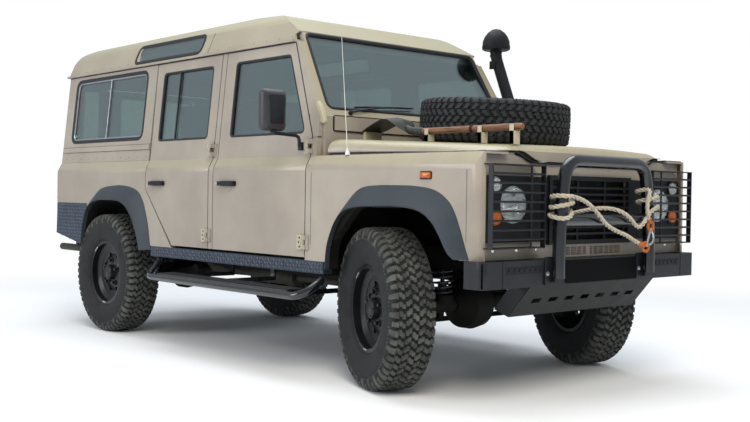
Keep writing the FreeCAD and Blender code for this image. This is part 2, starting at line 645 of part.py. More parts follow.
def front_wings():
    """Wings with a rounded front corner, hollow behind, open over the wheels."""
    rear = at(S.front_door_y) - S.panel_gap
    top = S.waist_height

    def form(inset, low, back):
        section = plate("XZ", [(-S.half_width + inset, low), (-S.half_width + inset, BARREL),
                               (-S.shoulder_half + inset, top - inset), (-S.wing_top_inner, top - inset),
                               (-S.wing_top_inner, low)],
                        (at(S.wing_front_y) + inset, back), {1: S.shoulder_round})
        plan = plate("XY", [(-S.half_width + inset, at(S.wing_front_y) + inset), (-S.half_width + inset, back),
                            (-S.wing_top_inner, back), (-S.wing_top_inner, at(S.wing_front_y) + inset)],
                     (low, top), {0: S.wing_corner - inset})
        return common(section, plan)
    outer = form(0.0, S.panel_bottom, rear)
    foot = lower_wall((at(S.arch_rear_foot_y), rear), S.skin, S.sill_top, BARREL - 60)
    inner = form(S.skin, S.panel_bottom - 20, rear - S.skin)
    face = block((-S.wing_panel_half, -S.wing_top_inner + 5), (at(S.wing_front_y) - 5, at(S.wing_front_y) + S.skin + 5),
                 (S.panel_bottom - 5, top - S.skin))
    arch = plate("YZ", FRONT_ARCH, ACROSS, ARCH_ROUNDS)
    wing = cut(fuse(cut(outer, inner), foot), arch, face)
    piece("front_wings", both(fuse(wing, body_hinge(at(S.front_door_y), S.hinge_low))))


def front_panel():
    """The upright panel that holds the lamps and the grille, with its two mesh vents."""
    y = (at(S.panel_y), at(S.panel_y) + S.panel_thick)
    half = S.wing_panel_half - 1
    top = S.waist_height - S.skin - 1
    outline = [(-half, S.panel_bottom), (-half, top), (-S.lip_half - 150, top), (-S.lip_half, S.lip_height - 8),
               (S.lip_half, S.lip_height - 8), (S.lip_half + 150, top), (half, top), (half, S.panel_bottom)]
    face = plate("XZ", outline, y)
    opening = block((-S.grille_half + 20, S.grille_half - 20), (y[0] - 5, y[1] + 5),
                    (S.grille_low + 20, S.grille_high - 20))
    holes = [opening]
    for side in (-1, 1):
        holes.append(rod("Y", (S.lamp_half * side, LAMP), (y[0] - 5, y[1] + 5), S.lamp_radius + 6))
        inner = S.vent_gap / 2 * side
        outer = S.vent_half * side
        span = (outer, inner) if side < 0 else (inner, outer)
        holes.append(block(span, (y[0] - 5, y[1] + 5), (S.vent_low, S.vent_high)))
    bars = []
    for side in (-1, 1):
        for step in range(1, 6):
            x = S.vent_half * side * (step / 6)
            bars.append(block((x - 3, x + 3), (y[0] + 3, y[1] - 3), (S.vent_low - 2, S.vent_high + 2)))
    slam = block((-S.lip_half, S.lip_half), (y[1], y[1] + 50), (S.lip_height - 20, S.lip_height - S.seat_gap))
    piece("front_panel", fuse(cut(face, *holes), slam, *bars))


def grille():
    """A slatted grille between two lamp surrounds, each surround with its lamp holes."""
    y = (at(S.panel_y) - S.surround_thick, at(S.panel_y))
    half = S.grille_half
    frame = cut(block((-half, half), (y[0] - 8, y[1]), (S.grille_low, S.grille_high)),
                block((-half + 22, half - 22), (y[0] - 20, y[1] + 5), (S.grille_low + 22, S.grille_high - 22)))
    pitch = (S.grille_high - S.grille_low - 44) / (S.slat_count + 1)
    slats = []
    for step in range(1, int(number(S.slat_count)) + 1):
        z = S.grille_low + 22 + pitch * step
        slats.append(plate("YZ", [(y[0] - 6, z - S.slat_tall / 2), (y[0] - 8, z + 2),
                                  (y[0] - 8 + S.slat_deep, z + S.slat_tall / 2), (y[0] - 8 + S.slat_deep, z)],
                           (-half + 20, half - 20)))
    stiles = [block((x - 6, x + 6), (y[0] - 4, y[1]), (S.grille_low + 10, S.grille_high - 10))
              for x in (-half / 3, half / 3)]
    surround = plate("XZ", [(-S.surround_outer, (LAMP - S.surround_fall)), (-S.surround_outer, (LAMP + S.surround_rise)),
                            (-S.surround_inner, (LAMP + S.surround_rise)), (-S.surround_inner, (LAMP - S.surround_fall))], y,
                     {index: 24 for index in range(4)})
    lamps = [rod("Y", (-S.lamp_half, LAMP), (y[0] - 5, y[1] + 5), S.lamp_radius + 2)]
    lamps += [rod("Y", (-S.small_half, z), (y[0] - 5, y[1] + 5), S.small_radius + S.seat_gap)
              for z in (SIDE_LAMP, AMBER)]
    piece("grille", fuse(frame, *slats, *stiles), both(cut(surround, *lamps)))


def lamps():
    """Domed headlamps in bezels, side lamps and number lamps; amber and red lamps."""
    y = at(S.panel_y) + S.panel_thick
    flange = S.lamp_radius + 14
    dome = turned("Y", [(5.0, 0.0), (5.0, flange), (S.seat_gap, flange), (S.seat_gap, S.lamp_radius),
                        (-S.lamp_deep, S.lamp_radius),
                        (-S.lamp_deep - 14, S.lamp_radius * 0.72), (-S.lamp_deep - 20, 0.0)],
                  (-S.lamp_half, y, LAMP))
    small = at(S.panel_y)

    def little(z):
        return turned("Y", [(0.0, 0.0), (0.0, S.small_radius), (-S.small_deep + 10, S.small_radius),
                            (-S.small_deep, S.small_radius * 0.7), (-S.small_deep, 0.0)],
                      (-S.small_half, small, z))
    rear = at(S.body_rear_y)
    piece("clear_lamps", both(dome), both(little(SIDE_LAMP)))
    repeater = block((-S.half_width - 14, -S.half_width), (at(-362), at(-314)), (1046, 1072))
    rear_amber = rod("Y", (-S.small_half, S.waist_height - 270), (rear, rear + 30), S.small_radius + 4)
    rear_red = rod("Y", (-S.small_half, S.waist_height - 380), (rear, rear + 30), S.small_radius + 4)
    piece("signal_lamps", both(little(AMBER)), both(repeater), both(rear_amber), both(rear_red))


def lamp_guards():
    """Rod cages that stand ahead of the lamps on a top and a bottom plate."""
    front = at(S.guard_y)
    inner = -S.guard_inner
    outer = -S.guard_outer
    z = (S.guard_low, S.guard_high)
    plates = []
    for low in (z[0], z[1] - S.guard_plate):
        plates.append(block((outer, inner), (front, at(S.wing_front_y) - S.seat_gap), (low, low + S.guard_plate)))
        plates.append(block((-S.surround_outer + 30, inner), (front + 5, at(S.panel_y)), (low, low + S.guard_plate)))
    uprights = [block((x, x + S.guard_plate), (front, front + S.guard_bar), z) for x in (outer, inner - S.guard_plate)]
    pitch = (z[1] - z[0]) / (S.guard_count + 1)
    rods = [rod("X", (front + S.guard_rod, z[0] + pitch * step), (outer, inner), S.guard_rod)
            for step in range(1, int(number(S.guard_count)) + 1)]
    stile = rod("Z", (inner - 90, front + S.guard_rod * 2 + 1), z, S.guard_rod)
    piece("lamp_guards", both(fuse(*plates, *uprights, *rods, stile)))


def front_bumper():
    """A folded steel channel with rounded ends on two frame brackets."""
    y = (at(S.bumper_y), at(S.bumper_y) + S.bumper_deep)
    z = (S.bumper_low, S.bumper_high)
    half = S.bumper_half
    beam = plate("XY", [(-half, y[1]), (-half, y[0]), (half, y[0]), (half, y[1])], z, {1: 30, 2: 30})
    hollow = block((-half + S.bumper_wall, half - S.bumper_wall), (y[0] + S.bumper_wall, y[1] + 5),
                   (z[0] + S.bumper_wall, z[1] - S.bumper_wall))
    bracket = block((-S.rail_half - 25, -S.rail_half + 25), (y[0] + 3, at(S.rail_front_y)), (z[0] + 20, z[1] - 50))
    piece("front_bumper", fuse(cut(beam, hollow), both(bracket)))


def bull_bar():
    """A tube hoop with a cross bar, on clamp feet, and the slotted guard plate below."""
    y = at(S.hoop_y)
    feet = S.hoop_foot
    hoop = swept("XZ", [(-S.hoop_half, feet), (-S.hoop_half, S.cross_low), (-S.hoop_top_half, S.hoop_top),
                        (S.hoop_top_half, S.hoop_top), (S.hoop_half, S.cross_low), (S.hoop_half, feet)],
                 y, S.hoop_radius, {1: S.hoop_bend * 3, 2: S.hoop_bend, 3: S.hoop_bend, 4: S.hoop_bend * 3})
    centre = (S.cross_low + S.cross_high) / 2
    reach = S.hoop_half - 8
    cross = rod("X", (y, centre), (-reach, reach), (S.cross_high - S.cross_low) / 2 - 8)
    pad = block((-S.hoop_half - S.clamp_width / 2, -S.hoop_half + S.clamp_width / 2),
                (at(S.bumper_y) - S.clamp_thick, at(S.bumper_y)), (S.bumper_low + 4, S.clamp_high))
    ear = block((-S.hoop_half - 8, -S.hoop_half + 8), (y, at(S.bumper_y)), (feet, S.clamp_high - 10))
    slope = [(at(S.skid_y), S.bumper_low), (at(S.skid_y) + S.skid_thick, S.bumper_low),
             (at(S.skid_rear_y) + S.skid_thick, S.skid_low), (at(S.skid_rear_y), S.skid_low)]
    skid = plate("YZ", slope, (-S.skid_half, S.skid_half))
    pitch = 2 * S.skid_half / (S.skid_slots + 1)
    slots = []
    for step in range(1, int(number(S.skid_slots)) + 1):
        x = -S.skid_half + pitch * step
        middle = (S.bumper_low + S.skid_low) / 2
        slots.append(block((x - 32, x + 32), (at(S.skid_y) - 20, at(S.skid_rear_y) + 40), (middle - 11, middle + 11)))
    hanger = block((-S.rail_half - 20, -S.rail_half + 20), (at(S.skid_rear_y) - 4, at(S.skid_rear_y) + S.skid_thick),
                   (S.skid_low, S.rail_bottom + 40))
    piece("bull_bar", fuse(hoop, cross, both(pad), both(ear)), fuse(cut(skid, *slots), both(hanger)))


def bonnet():
    """A domed lid, tapering forwards, with a nose that drops over the grille."""
    rear = at(S.bonnet_rear_y)
    front = at(S.bonnet_front_y)

    def shell(inset, low):
        sections = []
        for y, half, top in ((front, S.bonnet_front_half, S.bonnet_front_top),
                             (rear, S.bonnet_rear_half, S.bonnet_rear_top)):
            outline = [(-half + inset, low), (-half + inset, top - inset), (half - inset, top - inset),
                       (half - inset, low)]
            sections.append(sketch("XZ", outline, y, {1: S.bonnet_round - inset, 2: S.bonnet_round - inset}))
        loft = DOC.addObject("Part::Loft", "Dome")
        loft.Sections = sections
        loft.Solid = True
        loft.Ruled = True
        return loft
    nose = plate("YZ", [(front, S.lip_height - 40), (front, S.bonnet_front_top), (rear, S.bonnet_rear_top),
                        (rear, S.lip_height - 40)], (-S.half_width, S.half_width), {1: S.nose_round})
    hollow = plate("YZ", [(front + S.bonnet_skin, S.lip_height - 40), (front + S.bonnet_skin, S.bonnet_front_top - S.bonnet_skin),
                          (rear - S.bonnet_skin, S.bonnet_rear_top - S.bonnet_skin), (rear - S.bonnet_skin, S.lip_height - 40)],
                   (-S.half_width, S.half_width), {1: S.nose_round - S.bonnet_skin})
    outer = common(shell(0.0, S.lip_height), nose)
    inner = common(shell(S.bonnet_skin, S.lip_height - 20), hollow)
    below = plate("XZ", [(-S.half_width, S.lip_height - 50), (-S.half_width, S.bonnet_edge),
                         (-S.lip_half - 150, S.bonnet_edge), (-S.lip_half, S.lip_height),
                         (S.lip_half, S.lip_height), (S.lip_half + 150, S.bonnet_edge),
                         (S.half_width, S.bonnet_edge), (S.half_width, S.lip_height - 50)],
                  (front - 10, front + 60))
    behind = block((-S.half_width, S.half_width), (front + 59, rear + 10), (S.lip_height - 50, S.bonnet_edge))
    leaves = []
    for side in (-1, 1):
        x = S.bonnet_hinge_half * side
        span = (x - S.bonnet_knuckle, x + S.bonnet_knuckle)
        leaves.append(rod("X", (at(S.bonnet_hinge_y), S.bonnet_hinge), span, 8))
        leaves.append(block(span, (rear - 4, at(S.bonnet_hinge_y)), (S.bonnet_hinge - 6, S.bonnet_hinge + 6)))
    piece("bonnet", fuse(cut(outer, inner, below, behind), *shovel_clips(), *leaves))


def bonnet_top(distance):
    """The height of the bonnet's top face at a distance behind the front axle."""
    share = (distance - S.bonnet_front_y) / (S.bonnet_rear_y - S.bonnet_front_y)
    return S.bonnet_front_top + (S.bonnet_rear_top - S.bonnet_front_top) * share


def tyre_outline():
    """Half of the tyre section, mirrored about the middle of the tread."""
    right = [(S.bead_half, S.rim_radius + S.seat_gap), (S.bead_half, S.bead_radius + 10),
             (S.tyre_width / 2, S.bead_radius + 75),
             (S.tyre_width / 2 - 6, S.tyre_radius - 48), (S.tread_half, S.tyre_radius - 8),
             (S.tread_half * 0.5, S.tyre_radius)]
    left = [(-x, radius) for x, radius in reversed(right)]
    return right + left


def rim_outline(side):
    """A steel wheel section: flanges, well and a dished disc on the outer side."""
    wall = S.rim_wall
    face = S.disc_offset
    edge = S.bead_half + S.seat_gap
    points = [(-edge - wall, S.bead_radius + 6), (-edge, S.bead_radius + 6),
              (-edge, S.rim_radius), (-30.0, S.rim_radius), (-20.0, S.rim_well + wall),
              (25.0, S.rim_well + wall), (35.0, S.rim_radius), (edge, S.rim_radius),
              (edge, S.bead_radius + 6), (edge + wall, S.bead_radius + 6),
              (edge + wall, S.rim_radius - wall), (50.0, S.rim_radius - wall), (34.0, S.rim_well),
              (face + 6, S.rim_well - 40), (face + 24, S.hub_radius + 30), (face + 24, S.hub_radius),
              (S.hub_nose + 10, S.hub_radius - 8), (S.hub_nose + 10, 0.0), (S.hub_nose - 10, 0.0),
              (S.hub_nose - 10, S.stub_radius + S.stub_play), (-20.0, S.stub_radius + S.stub_play),
              (-20.0, S.hub_radius), (face + 8, S.hub_radius), (face + 8, S.hub_radius + 28),
              (face - 4, S.rim_well - 42), (-28.0, S.rim_well), (-40.0, S.rim_radius - wall),
              (-edge - wall, S.rim_radius - wall)]
    if side > 0:
        return points
    return [(-x, radius) for x, radius in points]


def wheel_at(x, y, z, side, axis="X"):
    """A tyre and its rim with vent holes; side is +1 where the dish faces +axis."""
    tyre = turned(axis, tyre_outline(), (x, y, z))
    disc = turned(axis, rim_outline(side), (x, y, z))
    return tyre, disc


def vents(axis, centre, span, count, circle, radius):
    tools = []
    for step in range(count):
        turn = 2 * math.pi * (step + 0.5) / count
        shift = (circle / 2 * math.cos(turn), circle / 2 * math.sin(turn))
        tools.append(rod(axis, (centre[0] + shift[0], centre[1] + shift[1]), span, radius))
    return tools


def wheels():
    """Four road wheels; the front pair are turned with their knuckles."""
    for end, y, lean in (("front", FRONT, S.steer_rest), ("rear", REAR, None)):
        for side, name in ((-1, "right"), (1, "left")):
            x = WHEEL * side
            tyre, rim = wheel_at(x, y, AXLE, side)
            span = (x - S.bead_half, x + S.bead_half)
            rim = cut(rim, group(*vents("X", (y, AXLE), span, 8, S.vent_circle, S.vent_radius)))
            if lean is not None:
                centre = (S.kingpin_half * side, y, 0.0)
                tyre = tilted(tyre, Z_AXIS, centre, lean)
                rim = tilted(rim, Z_AXIS, centre, lean)
            piece("tyre_%s_%s" % (end, name), tyre)
            piece("rim_%s_%s" % (end, name), rim)


def spare_wheel():
    """The spare lies on the bonnet, on a carrier bolted through it."""
    slope = angle_of(S.bonnet_rear_top - S.bonnet_front_top, S.bonnet_rear_y - S.bonnet_front_y)
    y = at(S.spare_y)
    deck = bonnet_top(S.spare_y)
    z = deck + S.tyre_width / 2 + S.seat_gap
    tyre, rim = wheel_at(0.0, y, z, 1, "Z")
    span = (z - S.bead_half, z + S.bead_half)
    rim = cut(rim, group(*vents("Z", (0.0, y), span, 8, S.vent_circle, S.vent_radius)))
    post = rod("Z", (0.0, y), (deck + S.seat_gap, z - 20), S.hub_radius)
    piece("spare_tyre", tilted(tyre, X_AXIS, (0.0, y, deck), slope))
    piece("spare_rim", tilted(fuse(rim, post), X_AXIS, (0.0, y, deck), slope))


def knuckles():
    """Swivel housings over the axle's balls, with stub, steering arm and brake backing."""
    for side, name in ((-1, "right"), (1, "left")):
        pin = S.kingpin_half * side
        outer = WHEEL * side
        low = (lambda a, b: (a, b) if side > 0 else (b, a))
        housing = rod("X", (FRONT, AXLE), low(pin, pin + 97 * side), S.housing_radius)
        hollow = ball((pin, FRONT, AXLE), S.ball_radius + S.housing_play)
        caps = [rod("Z", (pin, FRONT), span, 30)
                for span in ((AXLE + S.ball_radius + S.housing_play - 2, AXLE + S.housing_radius + 18),
                             (AXLE - S.housing_radius - 18, AXLE - S.ball_radius - S.housing_play + 2))]
        pins = [rod("Z", (pin, FRONT), span, 14)
                for span in ((AXLE + S.ball_radius + S.seat_gap, AXLE + S.housing_radius),
                             (AXLE - S.housing_radius, AXLE - S.ball_radius - S.seat_gap))]
        stub = rod("X", (FRONT, AXLE), low(pin + 95 * side, outer + (S.hub_nose - 12) * side), S.stub_radius)
        arm = block((pin - 20, pin + 20), (FRONT + 40, FRONT + S.arm_length + 20),
                    (S.arm_height + 16, S.arm_height + 16 + S.arm_thick))
        web = block((pin - 20, pin + 20), (FRONT + 40, FRONT + 80), (S.arm_height + 16, AXLE - 60))
        whole = fuse(cut(fuse(housing, web, arm, *caps), hollow), stub, *pins)
        piece("knuckle_" + name, tilted(whole, Z_AXIS, (pin, FRONT, 0.0), S.steer_rest))


def track_rod():
    """The rod behind the axle that joins the two steering arms."""
    shift_x = -S.arm_length * sine(S.steer_rest)
    shift_y = S.arm_length * cosine(S.steer_rest)
    y = FRONT + shift_y
    bar = rod("X", (y, S.arm_height), (-S.kingpin_half + shift_x, S.kingpin_half + shift_x), S.rod_radius)
    ends = [rod("Z", (S.kingpin_half * side + shift_x, y), (S.arm_height - 17, S.arm_height + 15.9), 20)
            for side in (-1, 1)]
    piece("track_rod", fuse(bar, *ends))


def spring_cup(axle):
    """The seat that carries a coil spring on the axle tube."""
    return rod("Z", (-S.rail_half, axle), (AXLE + 10, AXLE + S.axle_radius + 10), 60)


def axles():
    """Live axles: tubes, offset differential housings, balls or hub stubs."""
    diff = turned("X", [(-120.0, S.axle_radius), (-60.0, S.diff_radius - 10), (0.0, S.diff_radius),
                        (60.0, S.diff_radius - 10), (120.0, S.axle_radius), (120.0, 0.0), (-120.0, 0.0)],
                  (-S.diff_offset, FRONT - 10, AXLE))
    tube = rod("X", (FRONT, AXLE), (-S.kingpin_half, S.kingpin_half), S.axle_radius)
    balls = [ball((S.kingpin_half * side, FRONT, AXLE), S.ball_radius) for side in (-1, 1)]
    pinion = rod("Y", (-S.diff_offset, AXLE + 20), (FRONT, FRONT + 215), 46)
    piece("front_axle", fuse(diff, tube, pinion, *balls, both(spring_cup(FRONT))))
    rear_diff = turned("X", [(-120.0, S.axle_radius), (-60.0, S.diff_radius - 10), (0.0, S.diff_radius),
                             (60.0, S.diff_radius - 10), (120.0, S.axle_radius), (120.0, 0.0), (-120.0, 0.0)],
                       (-S.diff_offset, REAR + 10, AXLE))
    rear_tube = rod("X", (REAR, AXLE), (-WHEEL + 70, WHEEL - 70), S.axle_radius)
    stubs = [rod("X", (REAR, AXLE), (-WHEEL - S.hub_nose + 12, WHEEL + S.hub_nose - 12), S.stub_radius)]
    drums = [rod("X", (REAR, AXLE), span, S.brake_radius)
             for span in ((-WHEEL + 92, -WHEEL + 106), (WHEEL - 106, WHEEL - 92))]
    rear_pinion = rod("Y", (-S.diff_offset, AXLE + 20), (REAR - 215, REAR), 46)
    piece("rear_axle", fuse(rear_diff, rear_tube, rear_pinion, both(spring_cup(REAR)), *stubs, *drums))


def suspension():
    """Coil springs, dampers and locating arms of both axles."""
    coils = []
    links = []
    for axle, direction in ((FRONT, 1), (REAR, -1)):
        seat = AXLE + S.axle_radius + 10
        top = S.rail_bottom + (S.front_arch_rise if direction > 0 else S.rail_rise)
        x = -S.rail_half
        turns = 3
        pitch = (top - seat) / turns
        outline = [(0.0, 40.0)]
        for turn in range(turns):
            outline.append((pitch * (turn + 0.5), 56.0))
            outline.append((pitch * (turn + 1), 40.0))
        outline += [(top - seat, 30.0), (0.0, 30.0)]
        coils.append(turned("Z", outline, (x, axle, seat)))
        arm_front = axle - 60 * direction
        arm_rear = axle + (S.link_reach + 30) * direction
        arm = plate("YZ", [(arm_front, AXLE - 10), (arm_rear, S.rail_bottom - 20),
                           (arm_rear, S.rail_bottom - 62), (arm_front, AXLE - 80)], (x - 20, x + 20))
        links.append(cut(arm, rod("X", (axle, AXLE), (x - 30, x + 30), S.axle_radius)))
        bush = axle + S.link_reach * direction
        links.append(block((x - 30, x + 30), (bush - 25, bush + 25),
                           (S.rail_bottom - 64, S.rail_bottom)))
    return coils, links


def running_gear():
    coils, links = suspension()
    piece("suspension", both(fuse(*links)), both(fuse(*coils)))


def chassis():
    """Ladder frame: two cranked rails, cross tubes, outriggers and end members."""
    low = S.rail_bottom
    high = low + S.rail_depth
    near = S.front_arch_half
    far = near + S.rail_slope
    top = [(S.rail_front_y, S.front_rise), (-far, S.front_rise), (-near, S.front_arch_rise), (near, S.front_arch_rise),
           (far, 0.0), (S.rail_kick_y, 0.0), (S.rail_arch_y, S.rail_rise), (S.rail_arch_y + 680, S.rail_rise),
           (S.rail_rear_y, S.rail_rise - 40)]
    outline = [(at(y), high + rise) for y, rise in top] + [(at(y), low + rise) for y, rise in reversed(top)]
    rail = plate("YZ", outline, (-S.rail_half - S.rail_width / 2, -S.rail_half + S.rail_width / 2))
    reach = S.rail_half - S.rail_width / 2 - S.seat_gap
    members = [rod("X", (at(y), z), (-reach, reach), S.cross_radius)
               for y, z in ((-540, low + 95), (1250, low + 76), (1900, low + 55), (2500, low + S.rail_rise + 50))]
    members.append(block((-reach, reach), (at(S.member_y), at(S.member_y) + 60), (low, low + 20 - S.seat_gap)))
    outer = S.rail_half + S.rail_width / 2 + S.seat_gap
    top = S.floor_height - 25
    riggers = [block((-S.half_width + 60, -outer), (at(y), at(y) + S.outrigger_width), (top - S.outrigger_depth, top))
               for y in (470, 1480, 2190)]
    rear = at(S.rail_rear_y) + S.seat_gap
    tail = block((-S.half_width + 140, S.half_width - 140), (rear, rear + 60), (low + 50, low + 160))
    jaw = block((-70, 70), (rear + 60 + S.seat_gap, TAIL_END), (low + 60, low + 150))
    slot = block((-80, 80), (rear + 110, TAIL_END + 10), (low + 85, low + 125))
    pin = rod("Z", (0.0, TAIL_END - 35), (low + 60, low + 165), 14)
    piece("chassis_frame", both(rail), *members, *[both(rigger) for rigger in riggers], tail, fuse(cut(jaw, slot), pin))


def drivetrain():
    """Engine and gearbox as plain blocks, and the two propeller shafts."""
    play = S.seat_gap
    engine = block((-210, 210), (at(-200), at(430)), (590, 1060))
    sump = block((0, 150), (at(-120), at(380)), (490, 592))
    mount = block((-S.rail_half + S.rail_width / 2 + play, -205), (at(60), at(120)), (620, 670))
    box = block((-150, 150), (at(430) + play, at(1100)), (500, 720))
    left = -S.diff_offset - 60
    under = block((left, 120), (at(900), at(1180)), (420, 500 - play))
    beside = block((left, -150 - play), (at(900), at(1180)), (500, 630))
    behind = block((-150, 120), (at(1100) + play, at(1180)), (500, 630))
    shafts = [strut((-S.diff_offset, FRONT + 219, AXLE + 20), (-S.diff_offset, at(902), 455), 28),
              strut((-S.diff_offset, REAR - 219, AXLE + 20), (-S.diff_offset, at(1178), 455), 28)]
    radiator = block((-300, 300), (at(-590), at(-530)), (S.rail_bottom + 95 + S.cross_radius + play, 1060))
    piece("drivetrain", fuse(engine, sump, both(mount)), box, fuse(under, *shafts), beside, behind, radiator)


def exhaust():
    """One pipe from the engine past the silencer and over the rear axle to the tail, and the tank."""
    x = -265.0
    z = S.silencer_height
    front = at(S.silencer_y)
    rear = front + S.silencer_long
    down = pipe([(x, at(300), 700), (x, at(300), z), (x, front + 5, z)], S.pipe_radius)
    flange = block((-268, -210), (at(270), at(330)), (670, 712))
    silencer = rod("Y", (x, z), (front, rear), 54)
    over = pipe([(x, rear - 5, z), (x, at(2300), z), (x, at(2480), 575), (x, at(3040), 575),
                 (x, at(3240), S.tail_pipe), (x, at(3310), S.tail_pipe), (-760, at(3310), S.tail_pipe),
                 (-760, at(3620), S.tail_pipe)], S.pipe_radius)
    bore = rod("Y", (-760, S.tail_pipe), (at(3520), at(3630)), S.pipe_radius - 3)
    piece("exhaust", cut(fuse(down, flange, silencer, over), bore))
    bars = [block((-S.rail_half + S.rail_width / 2, S.rail_half - S.rail_width / 2), (at(y), at(y) + 30), (604, 624))
            for y in (3060, 3400)]
    piece("fuel_tank", fuse(block((-190, 300), (at(3000), at(3440)), (424, 606)), *bars))


def floor():
    """Floor plates, seat box, bulkhead with tunnel, rear floor with its wheel boxes."""
    z = (S.floor_height, S.floor_height + S.floor_thick)
    half = S.half_width - S.wall - S.panel_gap
    front = at(S.bulkhead_y)
    wall = fuse(block((-half + 20, half - 20), (front, front + 14), (z[0], S.waist_height - 20)),
                block((-S.wing_top_inner + 2, S.wing_top_inner - 2), (front, front + 14), (z[0], S.waist_height)))
    play = S.seat_gap
    deck = front + 14 + play
    step = at(S.step_up_y)
    tunnel_end = at(1214)
    beside = block((-half, -200 - play), (deck, step - play), z)
    middle = block((-200, 200), (tunnel_end + play, step - play), z)
    burrow = block((-186, 186), (front - 5, tunnel_end - 14), (z[0] - 5, z[0] + 116))
    tunnel = cut(block((-200, 200), (deck, tunnel_end), (z[0], z[0] + 130)), burrow)
    seat_box = cut(block((-half + 70, half - 70), (at(960), at(1440)), (z[1] + play, S.seat_box_top)),
                   block((-half + 84, half - 84), (at(974), at(1426)), (z[0] - 5, S.seat_box_top - 14)),
                   block((-200 - play, 200 + play), (at(950), tunnel_end + play), (z[0], z[0] + 130 + play)))
    rise = S.rear_floor_rise
    shelf = (z[0] + rise, z[1] + rise)
    tail = at(S.body_rear_y) - S.wall - 1
    arch_front = at(S.rear_arch_foot_y) - 20
    rear = fuse(block((-half + 20, half - 20), (step, arch_front - play), shelf),
                block((-half + 250 + play, half - 250 - play), (step, tail), shelf),
                block((-half + 20, half - 20), (step, step + 14), (z[0], z[1] + rise)))
    arch = block((-half, -half + 250), (arch_front, tail), (z[0] + rise, S.arch_top + 30))
    hollow = block((-half - 10, -half + 236), (arch_front + 14, tail - 14), (z[0] + rise - 30, S.arch_top + 16))
    piece("floor_bulkhead", cut(wall, burrow), both(beside), middle, tunnel, seat_box, rear, both(cut(arch, hollow)))


def scuttle():
    """The panel between bonnet and windscreen, its vent flaps, and the front door posts."""
    y = at(S.scuttle_y)
    half = S.scuttle_half
    front_y, front_z = screen_place(-S.screen_border - S.seat_gap, 0.0)
    rear_y, rear_z = screen_place(-S.screen_border - S.seat_gap, S.screen_deep + 6)
    face = plate("YZ", [(y, S.waist_height), (y, S.flap_high), (front_y, front_z), (rear_y, rear_z),
                        (y + 60, rear_z), (y + 60, S.waist_height)], (-half, half))
    hollow = block((-half + S.wall, half - S.wall), (y + 12, y + 70), (S.waist_height - 5, S.flap_high - 10))
    flaps = [block(span, (y - S.flap_out, y), (S.flap_low, S.flap_high))
             for span in ((-S.flap_half, -20), (20, S.flap_half))]
    foot = upper_wall((at(S.front_door_y) - S.panel_gap - 38, at(S.front_door_y) - S.panel_gap), S.wall,
                      S.waist_height + 1, S.rake_foot)
    ears = []
    for side in (-1, 1):
        x = S.bonnet_hinge_half * side
        for low in (x - S.bonnet_knuckle - 12, x + S.bonnet_knuckle + S.seat_gap):
            ears.append(block((low, low + 12 - S.seat_gap), (at(S.bonnet_hinge_y) - 8, y + 1),
                              (S.bonnet_hinge - 8, S.bonnet_hinge + 8)))
    posts = both(fuse(foot, body_hinge(at(S.front_door_y), S.hinge_high)))
    piece("scuttle", fuse(cut(face, hollow), *flaps, posts, *ears))


def screen_tall():
    """The windscreen's height along its slope."""
    up = S.screen_top - S.screen_foot
    back = S.screen_top_y - S.screen_foot_y
    return root(up * up + back * back)


def screen_place(along, deep):
    """A point of the leaning screen: along its slope from the foot, and deep behind its face."""
    up = (S.screen_top - S.screen_foot) / screen_tall()
    back = (S.screen_top_y - S.screen_foot_y) / screen_tall()
    return at(S.screen_foot_y) + back * along + up * deep, S.screen_foot + up * along - back * deep


def screen_outline(side, low, high):
    """The windscreen laid upright: its foot at z = 0, widths shrinking to the top."""
    foot = S.screen_foot_half + side
    top = S.screen_top_half + side
    return [(-foot, -low), (-top, screen_tall() + high), (top, screen_tall() + high), (foot, -low)]


def on_screen(item):
    """Lean a piece made on the laid-upright windscreen and set it on the scuttle."""
    rake = angle_of(S.screen_top_y - S.screen_foot_y, S.screen_top - S.screen_foot)
    leaning = tilted(item, X_AXIS, (0.0, ZERO, ZERO), -rake)
    return moved(leaning, 0.0, at(S.screen_foot_y), S.screen_foot)


def windscreen():
    """The leaning frame with its outer pillars ahead of the doors, and the glass."""
    rounds = {index: S.screen_round for index in range(4)}
    rings = {index: S.screen_round - S.seat_gap for index in range(4)}
    frame = cut(plate("XZ", screen_outline(S.screen_side, S.screen_border, S.screen_over), (0.0, S.screen_deep)),
                plate("XZ", screen_outline(0.0, 0.0, 0.0), (-5.0, S.screen_deep + 5), rounds))
    play = -S.seat_gap
    glass = plate("XZ", screen_outline(play, play, play), (8.0, 8.0 + S.glass_thick), rings)
    foot_y, foot_z = screen_place(-S.screen_border, 0.0)
    top = S.gutter_height
    face_y = foot_y + (at(S.screen_top_y) - foot_y) * ((top - foot_z) / (S.screen_top - foot_z))
    pillar = common(upper_wall((foot_y - 5, at(S.rake_top_y) + 10), S.pillar_thick, foot_z, top),
                    plate("YZ", [(foot_y, foot_z), (face_y, top), (rake_line(top) - 8, top),
                                 (rake_line(foot_z) - 8, foot_z)], ACROSS))
    piece("windscreen_frame", fuse(on_screen(frame), both(pillar)))
    return on_screen(glass)


def rake_line(height):
    """The Y of the front door's leaning front edge at a height."""
    share = (height - S.rake_foot) / (S.door_top - S.rake_foot)
    return at(S.front_door_y) + (S.rake_top_y - S.front_door_y) * share


